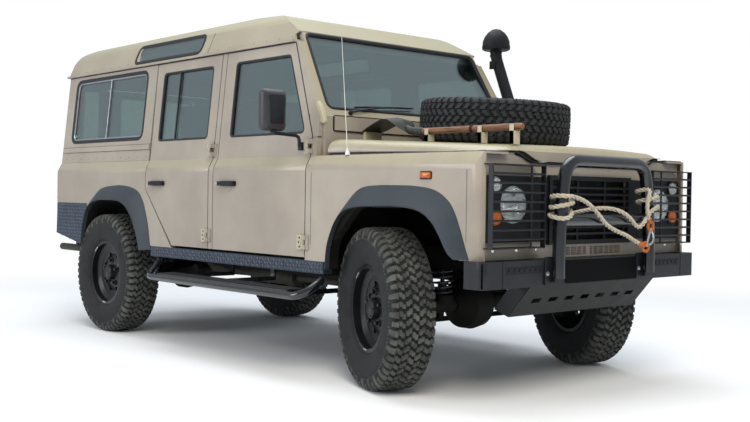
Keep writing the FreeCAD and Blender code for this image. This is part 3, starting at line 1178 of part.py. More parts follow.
def roof():
    """A hollow pressed roof: side slopes over the gutters, domed top, cut for side lights."""
    gutter = S.gutter_height
    outer = [(-S.gutter_half, gutter), (-S.roof_side_half, S.roof_side), (-S.roof_side_half + 130, S.roof_crown),
             (S.roof_side_half - 130, S.roof_crown), (S.roof_side_half, S.roof_side), (S.gutter_half, gutter)]
    t = S.skin
    inner = [(-S.gutter_half + t, gutter - 5), (-S.roof_side_half + t, S.roof_side - t / 2),
             (-S.roof_side_half + 130 + t / 2, S.roof_crown - t), (S.roof_side_half - 130 - t / 2, S.roof_crown - t),
             (S.roof_side_half - t, S.roof_side - t / 2), (S.gutter_half - t, gutter - 5)]
    front = at(S.roof_front_y)
    rear = at(S.roof_rear_y)

    def profile(inset, low):
        return plate("YZ", [(front + inset, low), (front + inset, S.roof_front_height - inset),
                            (at(1040) + inset, S.roof_crown - 40 - inset), (at(S.roof_flat_y) + inset, S.roof_crown - inset / 2),
                            (rear - 90 - inset, S.roof_crown - 12 - inset), (rear - inset, S.roof_side - 60), (rear - inset, low)],
                     (-S.half_width, S.half_width), {2: 300, 4: 100})
    rounds = {1: S.roof_round, 2: S.roof_round, 3: S.roof_round, 4: S.roof_round}
    small = {index: S.roof_round - t for index in rounds}
    solid = common(plate("XZ", outer, (front, rear), rounds), profile(0.0, gutter))
    void = common(plate("XZ", inner, (front - 5, rear - t), small), profile(t, gutter - 5))
    lights = plate("YZ", alpine_outline(), (-S.gutter_half - 30, -S.roof_side_half + 60), {index: 40 for index in range(4)})
    gutters = block((-S.gutter_half - S.gutter_out, -S.gutter_half + 4), (front + 8, rear - 8),
                    (gutter, gutter + S.gutter_tall))
    span = screen_tall() + S.screen_over
    seat = plate("YZ", [screen_place(0.0, 0.0), screen_place(span, 0.0), screen_place(span, S.screen_deep),
                        screen_place(0.0, S.screen_deep)], (-S.half_width, S.half_width))
    piece("roof", cut(fuse(cut(solid, void, both(lights)), both(gutters)), seat))


def alpine_outline(play=0.0):
    return [(at(S.alpine_front_y) + play, S.alpine_low + play), (at(S.alpine_front_y) - 20 + play, S.alpine_high - play),
            (at(S.alpine_rear_y) - play, S.alpine_high - play), (at(S.alpine_rear_y) - 60 - play, S.alpine_low + play)]


def fixed_glass():
    """Fixed panes: the windscreen, the rear quarters and the roof's side lights."""
    quarter = pane(QUARTER_WINDOW, S.quarter_round)
    slope = (S.gutter_half - S.roof_side_half) / (S.roof_side - S.gutter_height)
    low = S.gutter_half - slope * (S.alpine_low - S.gutter_height) - 3
    high = S.gutter_half - slope * (S.alpine_high - S.gutter_height) - 3
    strip = plate("XZ", [(-low, S.alpine_low), (-high, S.alpine_high), (-high + S.glass_thick, S.alpine_high),
                         (-low + S.glass_thick, S.alpine_low)], (at(S.alpine_front_y) - 30, at(S.alpine_rear_y) + 10))
    light = common(strip, plate("YZ", alpine_outline(S.seat_gap), (-S.gutter_half - 30, -S.roof_side_half + 60),
                                {index: 40 - S.seat_gap for index in range(4)}))
    piece("fixed_glass", windscreen(), both(quarter), both(light))


def body_sides():
    """Rear quarters above the waist, door pillars, cant rails and the tail frame."""
    gap = S.panel_gap
    top = S.gutter_height
    edge = at(S.rear_door_y) + 18 + gap
    rear = at(S.body_rear_y)
    post = rear - S.wall
    quarter = cut(upper_wall((edge, post - S.seat_gap), S.wall, S.waist_height + 1),
                  window_prism(QUARTER_WINDOW, 0.0, S.quarter_round))
    capping = upper_wall((edge + 2, post - S.seat_gap), S.capping_out + 10, S.capping_height - S.capping_tall / 2,
                         S.capping_height + S.capping_tall / 2, -S.capping_out)
    pillar = side_wall((at(S.pillar_front_y) + gap, at(S.pillar_rear_y) - gap), S.wall, S.door_bottom, top)
    foot = lean_half(S.waist_height + 1)
    frame = plate("XZ", [(-foot, S.waist_height + 1), (-S.gutter_half, top), (S.gutter_half, top),
                         (foot, S.waist_height + 1)], (post, rear))
    opening = block((-S.tail_half, S.tail_half), (post - 5, rear + 5), (S.waist_height - 10, S.tail_top))
    lights = [plate("XZ", [(-S.gutter_half + 80, S.quarter_sill + 20), (-S.gutter_half + 100, S.quarter_top - 40),
                           (-S.tail_half - 50, S.quarter_top - 40), (-S.tail_half - 50, S.quarter_sill + 20)],
                    (post - 5, rear + 5), {index: 30 for index in range(4)})]
    hinges = [body_hinge(at(S.pillar_rear_y), height) for height in (S.hinge_low, S.hinge_high)]
    tail = [tail_hinge(height) for height in TAIL_HINGES[1:]]
    piece("body_sides", both(fuse(quarter, capping)), fuse(cut(frame, opening, both(lights[0])), *tail),
          both(fuse(pillar, *hinges)))


def rear_tub():
    """The lower rear body: sides open over the wheels and the tail sill."""
    gap = S.panel_gap
    rear = at(S.body_rear_y)
    high = S.waist_height
    outline = [(at(S.rear_door_foot_y) + gap, S.sill_top), (at(S.rear_door_y) + gap, S.rear_door_knee),
               (at(S.rear_door_y) + gap, high), (rear, high), (rear, S.rear_corner), (at(S.rear_lower_y), S.rear_lower),
               (at(S.rear_arch_end_y) + 2, S.rear_lower), (at(S.rear_arch_foot_y) + 20, S.sill_top)]
    wall = lower_wall((at(S.rear_door_foot_y), rear), S.wall, S.rear_lower - 5)
    arch = plate("YZ", REAR_ARCH, ACROSS, ARCH_ROUNDS)
    side = cut(common(wall, plate("YZ", outline, ACROSS)), arch)
    back = cut(plate("XZ", [(-S.half_width + 5, S.rear_corner), (-S.half_width + 5, BARREL),
                            (-S.shoulder_half + 5, high), (S.shoulder_half - 5, high),
                            (S.half_width - 5, BARREL), (S.half_width - 5, S.rear_corner)], (rear - S.wall, rear)),
               block((-S.tail_half, S.tail_half), (rear - S.wall - 5, rear + 5), (S.tail_bottom - gap, high + 5)))
    piece("rear_tub", fuse(both(side), back, tail_hinge(TAIL_HINGES[0])))


def flares():
    """Moulded flares: thin shells that lean out from the side to a lip round each arch."""
    side = -S.half_width
    edge = side - S.flare_out

    def drawn_in(outline, play, drop=0.0):
        (y0, z0), (y1, z1), (y2, z2), (y3, z3), (y4, z4), (y5, z5) = outline
        return [(y0 + play, z0 - drop), (y1 + play, z1 - play / 2), (y2 + play / 2, z2 - play),
                (y3 - play / 2, z3 - play), (y4 - play, z4 - play / 2), (y5 - play, z5 - drop)]

    def hull(foot, foot_x, top, top_x):
        loft = DOC.addObject("Part::Loft", "Flare")
        loft.Sections = [sketch("YZ", foot, foot_x, {2: S.arch_round + 30, 3: S.arch_round + 30}),
                         sketch("YZ", top, top_x, {2: S.arch_round + 15, 3: S.arch_round + 15})]
        loft.Solid = True
        loft.Ruled = True
        return loft

    def flare(outer, lip):
        brim = drawn_in(lip, -S.flare_lip)
        brim[0] = (brim[0][0], outer[0][1])
        brim[5] = (brim[5][0], outer[5][1])
        skin = S.flare_skin
        hollow = hull(drawn_in(outer, skin, 3), side + 1, drawn_in(brim, skin, 3), edge + skin)
        hole = plate("YZ", lip, (edge - 5, side + 5), ARCH_ROUNDS)
        return cut(cut(hull(outer, side, brim, edge), hollow), hole)
    low = S.sill_bottom + 30
    top = S.arch_top + S.flare_width
    front_foot = at(S.arch_front_foot_y) - 56
    front_outer = [(front_foot, S.bumper_high + 6), (front_foot, S.arch_front_low + 40),
                   (at(S.arch_front_y) - S.flare_width / 2, top), (at(S.arch_rear_y) + S.flare_width / 2, top),
                   (at(S.arch_rear_foot_y) + 20, S.arch_front_low + 20), (at(S.arch_rear_foot_y) + 20, low)]
    front_lip = [FRONT_ARCH[0], (at(S.arch_front_foot_y), S.arch_front_low + 20), FRONT_ARCH[2], FRONT_ARCH[3],
                 (at(S.arch_lip_y), S.arch_front_low), (at(S.arch_lip_y), S.sill_bottom - 60)]
    rear_foot = at(S.rear_arch_foot_y) - 84
    rear_outer = [(rear_foot, low), (rear_foot, S.sill_top + 40), (at(S.rear_arch_front_y) - 125, top),
                  (at(S.rear_arch_rear_y) - 95, top), (at(S.rear_flare_y), 700), (at(S.rear_arch_end_y) + 4, low)]
    rear_lip = [REAR_ARCH[0], REAR_ARCH[1], (at(S.rear_arch_front_y) + 5, S.rear_lip_top),
                (at(S.rear_lip_rear_y), S.rear_lip_top), (at(S.rear_lip_end_y), 700), (at(S.rear_lip_end_y), low - 30)]
    piece("arch_flares", both(flare(front_outer, front_lip)), both(flare(rear_outer, rear_lip)))


def chequer():
    """Sill covers, rear corner plates and wing-top plates."""
    t = S.plate_thick
    sill = block((-S.half_width - 2, -S.half_width + 60), (at(S.arch_rear_foot_y) + 23, at(S.rear_arch_foot_y) - 86),
                 (S.sill_bottom, S.sill_top))
    start = at(S.rear_arch_end_y)
    corner = plate("YZ", [(start - 85, S.chequer_top), (at(S.body_rear_y) - 10, S.chequer_top),
                          (at(S.body_rear_y) + 2, S.rear_corner), (at(S.rear_lower_y), S.rear_lower),
                          (start + 7, S.rear_lower), (at(S.rear_flare_y) + 7, 700), (start - 85, 802)],
                   (-S.half_width - t, -S.half_width))
    wing = plate("XY", [(-S.shoulder_half + 8, at(S.wing_front_y) + 8), (-S.shoulder_half + 8, at(420)),
                        (-S.bonnet_rear_half + 6, at(420)), (-S.bonnet_front_half - 26, at(S.wing_front_y) + 8)],
                 (S.waist_height, S.waist_height + t))
    piece("chequer_plates", both(sill), both(corner), both(wing))


def side_steps():
    """Tube bows under each sill with a tread board and brackets to the frame."""
    z = S.step_height
    x = -S.step_half
    rise = root(S.step_rise * S.step_rise + S.step_inset * S.step_inset)
    bow = swept("YZ", [(at(S.step_front_y), z + rise), (at(S.step_front_y), z), (at(S.step_rear_y), z),
                       (at(S.step_rear_y) + S.step_splay, z + rise)], x, S.step_radius,
                {1: S.step_bend, 2: S.step_bend})
    bow = tilted(bow, Y_AXIS, (x, 0.0, z), angle_of(S.step_inset, S.step_rise))
    board = block((x, -S.tread_inner), (at(S.step_front_y) + 130, at(S.step_rear_y) - 110),
                  (z + 4, z + S.step_radius + 4))
    brackets = []
    hang = -S.rail_half - S.rail_width / 2
    for y in (560, 1400, 1850):
        brackets.append(block((-S.tread_inner - 20, hang), (at(y), at(y) + 40), (z - 10, z + 12)))
        brackets.append(block((hang - 12, hang), (at(y), at(y) + 40), (z - 10, S.rail_bottom + 60)))
    piece("side_steps", both(fuse(bow, board, *brackets)))


def intake():
    """A raised air intake up the left screen pillar, with a mushroom head."""
    x = S.intake_half
    head = S.head_low
    y = at(S.intake_y)
    tube = pipe([(x, at(S.intake_foot_y), S.waist_height + S.seat_gap), (x, at(S.intake_foot_y), 1320),
                 (x, y + 60, S.gutter_height + 40), (x, y + 60, head + 5)], S.intake_radius)
    cap = turned("Z", [(0.0, 0.0), (0.0, S.head_radius), (36.0, S.head_radius), (90.0, S.head_radius * 0.62),
                       (S.head_tall, S.head_radius * 0.3), (S.head_tall, 0.0)], (x, y + 60, head))
    piece("raised_intake", fuse(tube, cap))


def aerial_and_wipers():
    base = rod("Z", (-S.aerial_half, at(S.aerial_y)), (S.waist_height + S.seat_gap, S.waist_height + 22), 9)
    whip = rod("Z", (-S.aerial_half, at(S.aerial_y)), (S.waist_height + 20, S.waist_height + S.aerial_tall), 3)
    wipers = []
    for x in (-560, 120):
        pivot = rod("Y", (x, -30.0), (-14.0, -S.seat_gap), 11)
        arm = strut((x, -10.0, -30.0), (x + 280, -10.0, 27.0), 5)
        link = rod("Y", (x + 280, 27.0), (-10.0, 3.0), 4)
        blade = strut((x + 50, 2.0, 14.0), (x + 500, 2.0, 40.0), 4)
        wipers.append(on_screen(fuse(pivot, arm, link, blade)))
    piece("aerial_wipers", fuse(base, whip), *wipers)


def shovel():
    """A spade clipped along the right of the bonnet: ash handle, socket and turned-down blade."""
    x = -S.shovel_half
    z = S.shovel_height
    neck = at(S.shovel_neck_y)
    grip = rod("Y", (x, z), (at(S.shovel_front_y), neck), S.handle_radius)
    socket = rod("Y", (x, z), (neck, neck + 90), S.handle_radius + 5)
    blade = plate("YZ", [(neck + 80, z - 10), (neck + 190, z + S.blade_peak), (neck + 230, z + S.blade_peak),
                         (at(S.shovel_tip_y), z + 6), (at(S.shovel_tip_y), z), (neck + 200, z + S.blade_peak - 14),
                         (neck + 100, z - 16)], (x - 90, x + 90))
    piece("shovel", fuse(grip, socket, blade))


def leg_point(side, turn, height):
    """A point of a coil round a leg of the hoop; a turn of 0 is on its inner side, 90 in front."""
    share = (height - number(S.cross_low)) / number(S.hoop_top - S.cross_low)
    half = number(S.hoop_half) - number(S.hoop_half - S.hoop_top_half) * share
    angle = math.radians(turn)
    reach = number(S.rope_turn)
    return V(side * (half - reach * math.cos(angle)), number(at(S.hoop_y)) - reach * math.sin(angle), height)


def leg_coil(side, keys):
    """Twelve points to the turn round a leg, between keys of an angle and a height."""
    points = []
    for (turn, low), (last, high) in zip(keys, keys[1:]):
        steps = (last - turn) // 30
        for step in range(steps):
            points.append(leg_point(side, turn + 30 * step, low + (high - low) * step / steps))
    return points + [leg_point(side, *keys[-1])]


def rope_route():
    """The tow rope's points: slung from the shackle, wound on one leg, over the bar, and on the other leg."""
    y = number(at(S.hoop_y))
    front = y - number(S.rope_turn)
    slung = [V(236, front, 731), V(170, front, 752), V(93, front, 786), V(8, front, 806), V(-72, front, 836),
             V(-122, front, 876), V(-172, front, 913), V(-226, front, 943), V(-270, front, 957), V(-306, front, 965)]
    near = leg_coil(-1, [(90, 971), (180, 974), (360, 950), (540, 922), (720, 912), (750, 903), (780, 888),
                         (810, 874), (840, 868), (870, 870), (900, 876), (990, 888)])
    over = [V(-312, y + 53, 889), V(-262, y + 54, 888), V(-190, y + 53, 891), V(-110, y + 41, 906),
            V(-22, y + 8, 919), V(62, y - 30, 908), V(122, front, 872), V(160, front - 2, 834), V(196, front - 2, 820),
            V(232, front - 2, 838), V(268, front, 872), V(304, front, 903)]
    far = leg_coil(1, [(90, 921), (180, 930), (360, 956), (540, 984), (690, 1004)])
    splice = [V(297, y - 2, 1010), V(296, y - 36, 1013), V(277, y - 62, 1005), V(256, y - 70, 979),
              V(246, y - 66, 940), V(257, y - 60, 893), V(284, y - 56, 846)]
    return slung + near + over + far + splice


def tow_rope():
    """One bent tube of straight runs with an arc at every point, and its end fittings."""
    points = rope_route()
    edges = []
    radii = []
    start = points[0]
    for before, corner, after in zip(points, points[1:], points[2:]):
        into = corner - before
        out = after - corner
        half = into.getAngle(out) / 2
        run = 0.45 * min(into.Length, out.Length)
        into.normalize()
        out.normalize()
        first = corner - into * run
        last = corner + out * run
        radius = run / math.tan(half)
        inward = out - into
        inward.normalize()
        middle = corner + inward * (radius * (1 / math.cos(half) - 1))
        edges.append(Part.LineSegment(start, first).toShape())
        edges.append(Part.Arc(first, middle, last).toShape())
        radii.append(radius)
        start = last
    edges.append(Part.LineSegment(start, points[-1]).toShape())
    route = DOC.addObject("Part::Feature", "RopeRoute")
    route.Shape = Part.Wire(edges)
    ring = DOC.addObject("Part::Circle", "Ring")
    bind(ring, {"Radius": S.rope_radius})
    ring.Placement = FreeCAD.Placement(points[0], FreeCAD.Rotation(V(0, 0, 1), points[1] - points[0]))
    tube = DOC.addObject("Part::Sweep", "Rope")
    tube.Sections = [ring]
    tube.Spine = (route, ["Edge%d" % (index + 1) for index in range(len(edges))])
    tube.Solid = True
    DOC.recompute()
    length = route.Shape.Length
    swell = tube.Shape.Volume / (math.pi * number(S.rope_radius) ** 2 * length)
    print("Rope: %d points, %.0f mm, bends of %.0f to %.0f mm, volume %.3f of section times length"
          % (len(points), length, min(radii), max(radii), swell))
    piece("tow_rope", tube)
    fittings = []
    for end, inner, long in ((points[0], points[1], 46), (points[-1], points[-2], 30)):
        socket = DOC.addObject("Part::Cylinder", "Socket")
        socket.Placement = FreeCAD.Placement(end, FreeCAD.Rotation(V(0, 0, 1), end - inner))
        bind(socket, {"Radius": S.rope_radius + 4, "Height": ZERO + long})
        away = end - inner
        away.normalize()
        fittings.append(socket)
        fittings.append(eye(end + away * (long + 22)))
    shackle = DOC.addObject("Part::Torus", "Shackle")
    bind(shackle, {"Radius1": S.rope_radius * 3, "Radius2": S.rope_radius * 0.7})
    shackle.Placement = FreeCAD.Placement((points[0] + points[-1]) * 0.5 + V(52, 0, -14), FreeCAD.Rotation(V(1, 0, 0), 90))
    piece("rope_fittings", fuse(*fittings, shackle))


def eye(centre):
    """The ring at a rope's end."""
    ring = DOC.addObject("Part::Torus", "Eye")
    bind(ring, {"Radius1": S.rope_radius * 2.4, "Radius2": S.rope_radius * 0.75})
    ring.Placement = FreeCAD.Placement(centre, FreeCAD.Rotation(V(1, 0, 0), 90))
    return ring


def shovel_clips():
    """Upright clips on the bonnet that hold the shovel's handle and blade."""
    x = -S.shovel_half
    z = S.shovel_height
    clips = []
    for y in (-600, -400, -40):
        clip = block((x - 26, x + 26), (at(y) - 14, at(y) + 14), (bonnet_top(y) - 6, z + 12))
        grip = block((x - S.handle_radius - S.seat_gap, x + S.handle_radius + S.seat_gap), (at(y) - 20, at(y) + 20),
                     (z - S.handle_radius - S.seat_gap, z + 20))
        clips.append(cut(clip, grip))
    rest = block((x - 60, x + 60), (at(380), at(402)), (bonnet_top(380) - 6, z + 9))
    return clips + [rest]


def cabin():
    """Seats, dashboard and steering wheel."""
    seats = []
    front_foot = S.seat_box_top
    rear_foot = S.floor_height + S.floor_thick + S.rear_floor_rise
    for x, y, width, low in ((-S.seat_half, S.front_seat_y, S.seat_width, front_foot),
                             (S.seat_half, S.front_seat_y, S.seat_width, front_foot),
                             (ZERO, S.rear_seat_y, S.seat_width * 2.9, rear_foot)):
        base = S.seat_high - S.seat_thick
        cushion = block((x - width / 2, x + width / 2), (at(y), at(y) + S.seat_deep), (base, S.seat_high))
        back = block((x - width / 2, x + width / 2), (at(y) + S.seat_deep - S.seat_thick, at(y) + S.seat_deep),
                     (S.seat_high, S.seat_high + S.seat_back))
        foot = block((x - width / 2 + 40, x + width / 2 - 40), (at(y) + 60, at(y) + S.seat_deep - 60),
                     (low, base))
        seats.append(fuse(cushion, back, foot))
    piece("seats", *seats)
    half = S.shoulder_half - S.wall - 30
    dash = plate("YZ", [(at(S.dash_y), S.dash_low), (at(S.dash_y), S.dash_high), (at(S.dash_y) + 180, S.dash_high - 20),
                        (at(S.dash_y) + 230, S.dash_high - 90), (at(S.dash_y) + 150, S.dash_low)], (-half, half))
    stay = block((-half + 130, half - 130), (at(S.bulkhead_y) + 14, at(S.dash_y) + 2), (S.dash_low + 10, S.waist_height - 14))
    bush = steering_place(rod("Z", (0.0, 0.0), (-170.0, -110.0), 34))
    bore = steering_place(rod("Z", (0.0, 0.0), (-260.0, -60.0), 16 + S.seat_gap))
    piece("dashboard", cut(fuse(dash, stay, bush), bore))


def steering_place(item):
    """Lean an upright piece back about its origin and set it where the steering wheel is."""
    leaning = tilted(item, X_AXIS, (0.0, ZERO, ZERO), S.steering_rake - 90)
    return moved(leaning, -S.wheel_half, at(S.steering_y), S.steering_height)


def steering_wheel():
    """Rim, spokes and column, leaning back towards the driver."""
    ring = DOC.addObject("Part::Torus", "Rim")
    bind(ring, {"Radius1": S.steering_radius, "Radius2": S.rim_tube})
    hub = rod("Z", (0.0, 0.0), (-30.0, 12.0), 44)
    spokes = [block((-S.steering_radius, S.steering_radius), (-14, 14), (-8, 4)),
              block((-14, 14), (-S.steering_radius, 0), (-8, 4))]
    shaft = rod("Z", (0.0, 0.0), (-180.0, -20.0), 16)
    whole = fuse(ring, hub, *spokes, shaft)
    piece("steering_wheel", steering_place(whole))


doors()
mirrors()
tail_door()
front_wings()
front_panel()
grille()
lamps()
lamp_guards()
front_bumper()
bull_bar()
bonnet()
wheels()
spare_wheel()
knuckles()
track_rod()
axles()
running_gear()
chassis()
drivetrain()
exhaust()
floor()
scuttle()
roof()
fixed_glass()
body_sides()
rear_tub()
flares()
chequer()
side_steps()
intake()
aerial_and_wipers()
shovel()
cabin()
steering_wheel()
tow_rope()

DOC.recompute()
for item in DOC.Objects:
    if "Invalid" in item.State or "Error" in item.State:
        raise RuntimeError("%s (%s) did not build: %s" % (item.Name, item.Label, item.State))
for item in PIECES:
    if item.Shape.isNull() or not item.Shape.isValid():
        raise RuntimeError("%s has no sound shape" % item.Label)

os.makedirs("parts", exist_ok=True)
for item in PIECES:
    item.Shape.exportStep("parts/%s.step" % item.Label)
print("%d pieces written" % len(PIECES))
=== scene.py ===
import bpy
import bmesh
import math
from mathutils import Matrix, Vector
from mathutils.bvhtree import BVHTree


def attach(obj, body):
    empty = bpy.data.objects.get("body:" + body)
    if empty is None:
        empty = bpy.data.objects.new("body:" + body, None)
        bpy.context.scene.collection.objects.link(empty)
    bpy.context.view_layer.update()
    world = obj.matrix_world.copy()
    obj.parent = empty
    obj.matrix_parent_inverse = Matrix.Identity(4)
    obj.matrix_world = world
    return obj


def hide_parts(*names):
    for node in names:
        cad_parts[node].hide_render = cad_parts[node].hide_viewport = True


# Army 4x4 car, dressed over its CAD pieces.
# Metres. The front faces -Y, the car's right side is at -X, the ground is Z = 0.
# Places on the body are typed in millimetres, those along it counted back from the front axle.

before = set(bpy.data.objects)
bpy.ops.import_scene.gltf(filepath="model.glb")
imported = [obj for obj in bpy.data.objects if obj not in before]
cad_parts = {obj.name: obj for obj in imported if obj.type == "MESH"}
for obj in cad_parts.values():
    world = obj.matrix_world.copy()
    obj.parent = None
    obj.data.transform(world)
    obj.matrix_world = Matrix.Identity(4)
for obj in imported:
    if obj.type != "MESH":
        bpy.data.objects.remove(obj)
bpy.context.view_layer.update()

MM = 0.001
# The front axle's middle; its height is the tyres' radius
AXLE_Y = -1.452
AXLE_Z = 0.403
WHEELBASE = 2.794
# The side stands upright up to BEND, comes in to WAIST_HALF at WAIST and leans in to GUTTER_HALF at GUTTER
SIDE = 0.833
BEND = 1.09
WAIST = 1.166
WAIST_HALF = 0.8
GUTTER = 1.801
GUTTER_HALF = 0.734
SIDES = ((-1, "right"), (1, "left"))


def at(distance):
    """The Y of a place counted in millimetres behind the front axle."""
    return AXLE_Y + distance * MM


# The outer faces of the bumper, of the bull bar's pads and of the body's rear, and the tail seal's place
BUMPER_FACE = at(-713)
PAD_THICK = 0.0095
PAD_FACE = BUMPER_FACE - PAD_THICK
REAR_FACE = 2.114
TAIL_SEAL_Y = 2.1355


def half_at(height):
    """Half the body's width at a height."""
    if height < WAIST:
        return SIDE - (SIDE - WAIST_HALF) * max(0.0, min(1.0, (height - BEND) / (WAIST - BEND)))
    return WAIST_HALF - (WAIST_HALF - GUTTER_HALF) * (height - WAIST) / (GUTTER - WAIST)


def circle(count):
    """Equal turns round a circle, in radians."""
    return [2 * math.pi * step / count for step in range(count)]


def span(middle, half):
    """The two ends of a length by its middle."""
    return middle - half, middle + half


# Colours and materials
def linear(code):
    """A hex colour turned into the linear values that shaders take."""
    values = [int(code[index:index + 2], 16) / 255 for index in (1, 3, 5)]
    return [v / 12.92 if v <= 0.04045 else ((v + 0.055) / 1.055) ** 2.4 for v in values] + [1.0]


def add(tree, kind, inputs=None, **settings):
    """A shader node with its settings and its inputs, which are values or sockets to link."""
    node = tree.nodes.new("ShaderNode" + kind)
    for name, value in settings.items():
        setattr(node, name, value)
    for name, value in (inputs or {}).items():
        socket = node.inputs[name]
        if isinstance(value, bpy.types.NodeSocket):
            tree.links.new(value, socket)
        else:
            socket.default_value = value
    return node


def blank(name):
    """A material without nodes, and its node tree."""
    material = bpy.data.materials.new(name)
    material.use_nodes = True
    material.node_tree.nodes.clear()
    return material, material.node_tree


def ramp(tree, factor, stops):
    """A colour ramp between (place, hex colour or grey) stops."""
    node = add(tree, "ValToRGB", {"Fac": factor})
    elements = node.color_ramp.elements
    while len(elements) < len(stops):
        elements.new(0.5)
    for element, (place, colour) in zip(elements, stops):
        element.position = place
        element.color = linear(colour) if isinstance(colour, str) else (colour, colour, colour, 1.0)
    return node.outputs["Color"]


def surface(name, colours, roughness, scale, bump=0.0, bump_scale=400.0, dust=None, metallic=0.0,
            specular=0.5, coat=0.0):
    """A drifting colour between hex colours, with a fine relief and dust on faces that look up."""
    material, tree = blank(name)
    place = add(tree, "TexCoord").outputs["Object"]
    drift = add(tree, "TexNoise", {"Vector": place, "Scale": scale, "Detail": 5.0, "Roughness": 0.6})
    stops = [(0.32 + 0.36 * index / (len(colours) - 1), colour) for index, colour in enumerate(colours)]
    colour = ramp(tree, drift.outputs["Fac"], stops)
    rough = ramp(tree, drift.outputs["Fac"], [(0.3, roughness[0]), (0.7, roughness[1])])
    if dust:
        normal = add(tree, "NewGeometry").outputs["Normal"]
        up = add(tree, "SeparateXYZ", {"Vector": normal}).outputs["Z"]
        amount = ramp(tree, up, [(0.1, 0.0), (0.95, dust[1])])
        mixed = add(tree, "MixRGB", {"Fac": amount, "Color1": colour, "Color2": linear(dust[0])})
        colour = mixed.outputs["Color"]
    values = {"Base Color": colour, "Roughness": rough, "Metallic": metallic, "Specular IOR Level": specular,
              "Coat Weight": coat}
    if bump:
        grain = add(tree, "TexNoise", {"Vector": place, "Scale": bump_scale, "Detail": 3.0})
        values["Normal"] = add(tree, "Bump", {"Height": grain.outputs["Fac"], "Strength": bump,
                                              "Distance": 0.0005}).outputs["Normal"]
    shader = add(tree, "BsdfPrincipled", values)
    add(tree, "OutputMaterial", {"Surface": shader.outputs["BSDF"]})
    return material


# Each line says what the material gives the eye. Noise scales are counts per metre, so a bump scale of
# 1500 is a grain of under a millimetre.
# Sand paint: cooler on the sides, yellower and dustier where it faces the sky.
SAND = surface("sand enamel paint, sprayed", ["#867D72", "#91887C", "#9A9184"], (0.36, 0.46), 1.6,
               0.06, 900.0, ("#97916D", 0.75), coat=0.18)
# The same paint brushed on castings and clips: creamier and duller.
CREAM = surface("cream enamel paint, brushed", ["#A29A80", "#B0A88F"], (0.4, 0.5), 9.0, 0.1, 600.0)
# Flares: a soft blue-grey with a paler, dusty top.
PLASTIC = surface("blue-grey polypropylene, moulded",
                  ["#252B30", "#2F363C"], (0.45, 0.58), 6.0, 0.25, 1400.0, ("#444B50", 0.35), specular=0.35)
# Grained plastic: near black, its shine broken up.
BLACK_PLASTIC = surface("black polypropylene, grained",
                        ["#0D0E10", "#16171A"], (0.5, 0.62), 12.0, 0.35, 1600.0, specular=0.3)
# Powder coat: a fine orange peel that blurs the highlights on guards and bumper.
GUARD_BLACK = surface("black powder coat on steel, baked",
                      ["#0F1115", "#1A1D22"], (0.34, 0.46), 14.0, 0.2, 900.0, specular=0.35)
# Dipped enamel: long clear highlights along the tubes.
GLOSS_BLACK = surface("black gloss enamel on tube, dipped",
                      ["#0A0B0E", "#14171C"], (0.16, 0.26), 7.0, coat=0.5)
# Brushed enamel: a dead, textured black on plates.
MATT_BLACK = surface("black textured enamel on plate, brushed",
                     ["#0B0C0D", "#161719"], (0.6, 0.75), 10.0, 0.3, 500.0, ("#1F1F1D", 0.5))
# Tread that has never run: dark blocks with little contrast.
SPARE_TREAD = surface("unworn tread rubber",
                      ["#191A1C", "#2A2B2D", "#232426"], (0.7, 0.85), 14.0, 0.3, 300.0)
# Chassis wax: swallows the light below the body. On the arch liners the same black is partly painted shade.
UNDERSIDE = surface("black chassis wax, brushed",
                    ["#0C0C0C", "#191715"], (0.6, 0.8), 5.0, 0.3, 200.0, specular=0.2)
# Sidewalls: dull charcoal with a little dust on what looks up.
RUBBER = surface("tyre rubber, moulded and dusty",
                 ["#17191A", "#232526", "#1C1E1F"], (0.72, 0.88), 7.0, 0.3, 500.0,
                 ("#3C3C37", 0.25), specular=0.3)
# Worn tread: paler block faces that stand out from the dark grooves.
TREAD = surface("tread rubber, worn by dusty roads", ["#2B2C2A", "#40413E", "#55564F"], (0.85, 0.95), 16.0,
                0.35, 300.0)
# Extruded rubber: an even black line round panes and doors.
SEAL = surface("black rubber seal, extruded", ["#0E0F10", "#1A1B1C"], (0.55, 0.65), 20.0)
# Stove enamel on rims: a soft gloss that picks out the disc's steps.
RIM_BLACK = surface("black stove enamel on pressed steel",
                    ["#0A0B0D", "#14161A"], (0.28, 0.4), 9.0, 0.1, 700.0, ("#25231F", 0.3), specular=0.4)
# Plated bolts and shackle: small bright points.
BRIGHT = surface("zinc-plated steel, turned", ["#B9BBBC", "#D4D6D7"], (0.22, 0.34), 40.0, metallic=1.0)
# Anodised frames: a pale satin line inside the side windows.
ALUMINIUM = surface("anodised aluminium, extruded", ["#A9ACAE", "#C0C3C5"], (0.3, 0.4), 30.0, metallic=1.0)
# Rolled plate: blue-grey between the lozenges.
CHEQUER = surface("grey-blue painted chequer plate, rolled",
                  ["#2E343D", "#3C434E"], (0.5, 0.65), 11.0, 0.1, 500.0, ("#33373E", 0.4), specular=0.15)
# Rubbed tops: a lighter fleck on each lozenge.
LOZENGE = surface("worn tops of chequer plate, rolled",
                  ["#424955", "#5A616F"], (0.4, 0.55), 30.0, 0.1, 500.0, specular=0.3)
# Exhaust: brown-black and rough.
PIPE = surface("exhaust steel, rusted dull",
               ["#2B2A26", "#42403A"], (0.6, 0.75), 25.0, 0.4, 300.0, metallic=0.5)
# Rope: pale strands with dirt that drifts along them.
ROPE = surface("polyester rope, laid and faded",
               ["#877F6E", "#B9B19F", "#A1998A"], (0.85, 0.95), 60.0, 0.8, 1500.0)
# Sleeves: a rough orange that marks the rope's ends.
ORANGE = surface("orange webbing sleeve, woven", ["#8F4A20", "#B5662F"], (0.7, 0.85), 40.0, 0.8, 1300.0)
# Cushion cloth: a dark weave without shine.
CLOTH = surface("grey seat cloth, woven", ["#2B2D30", "#3B3E42"], (0.85, 0.95), 30.0, 0.7, 1500.0)
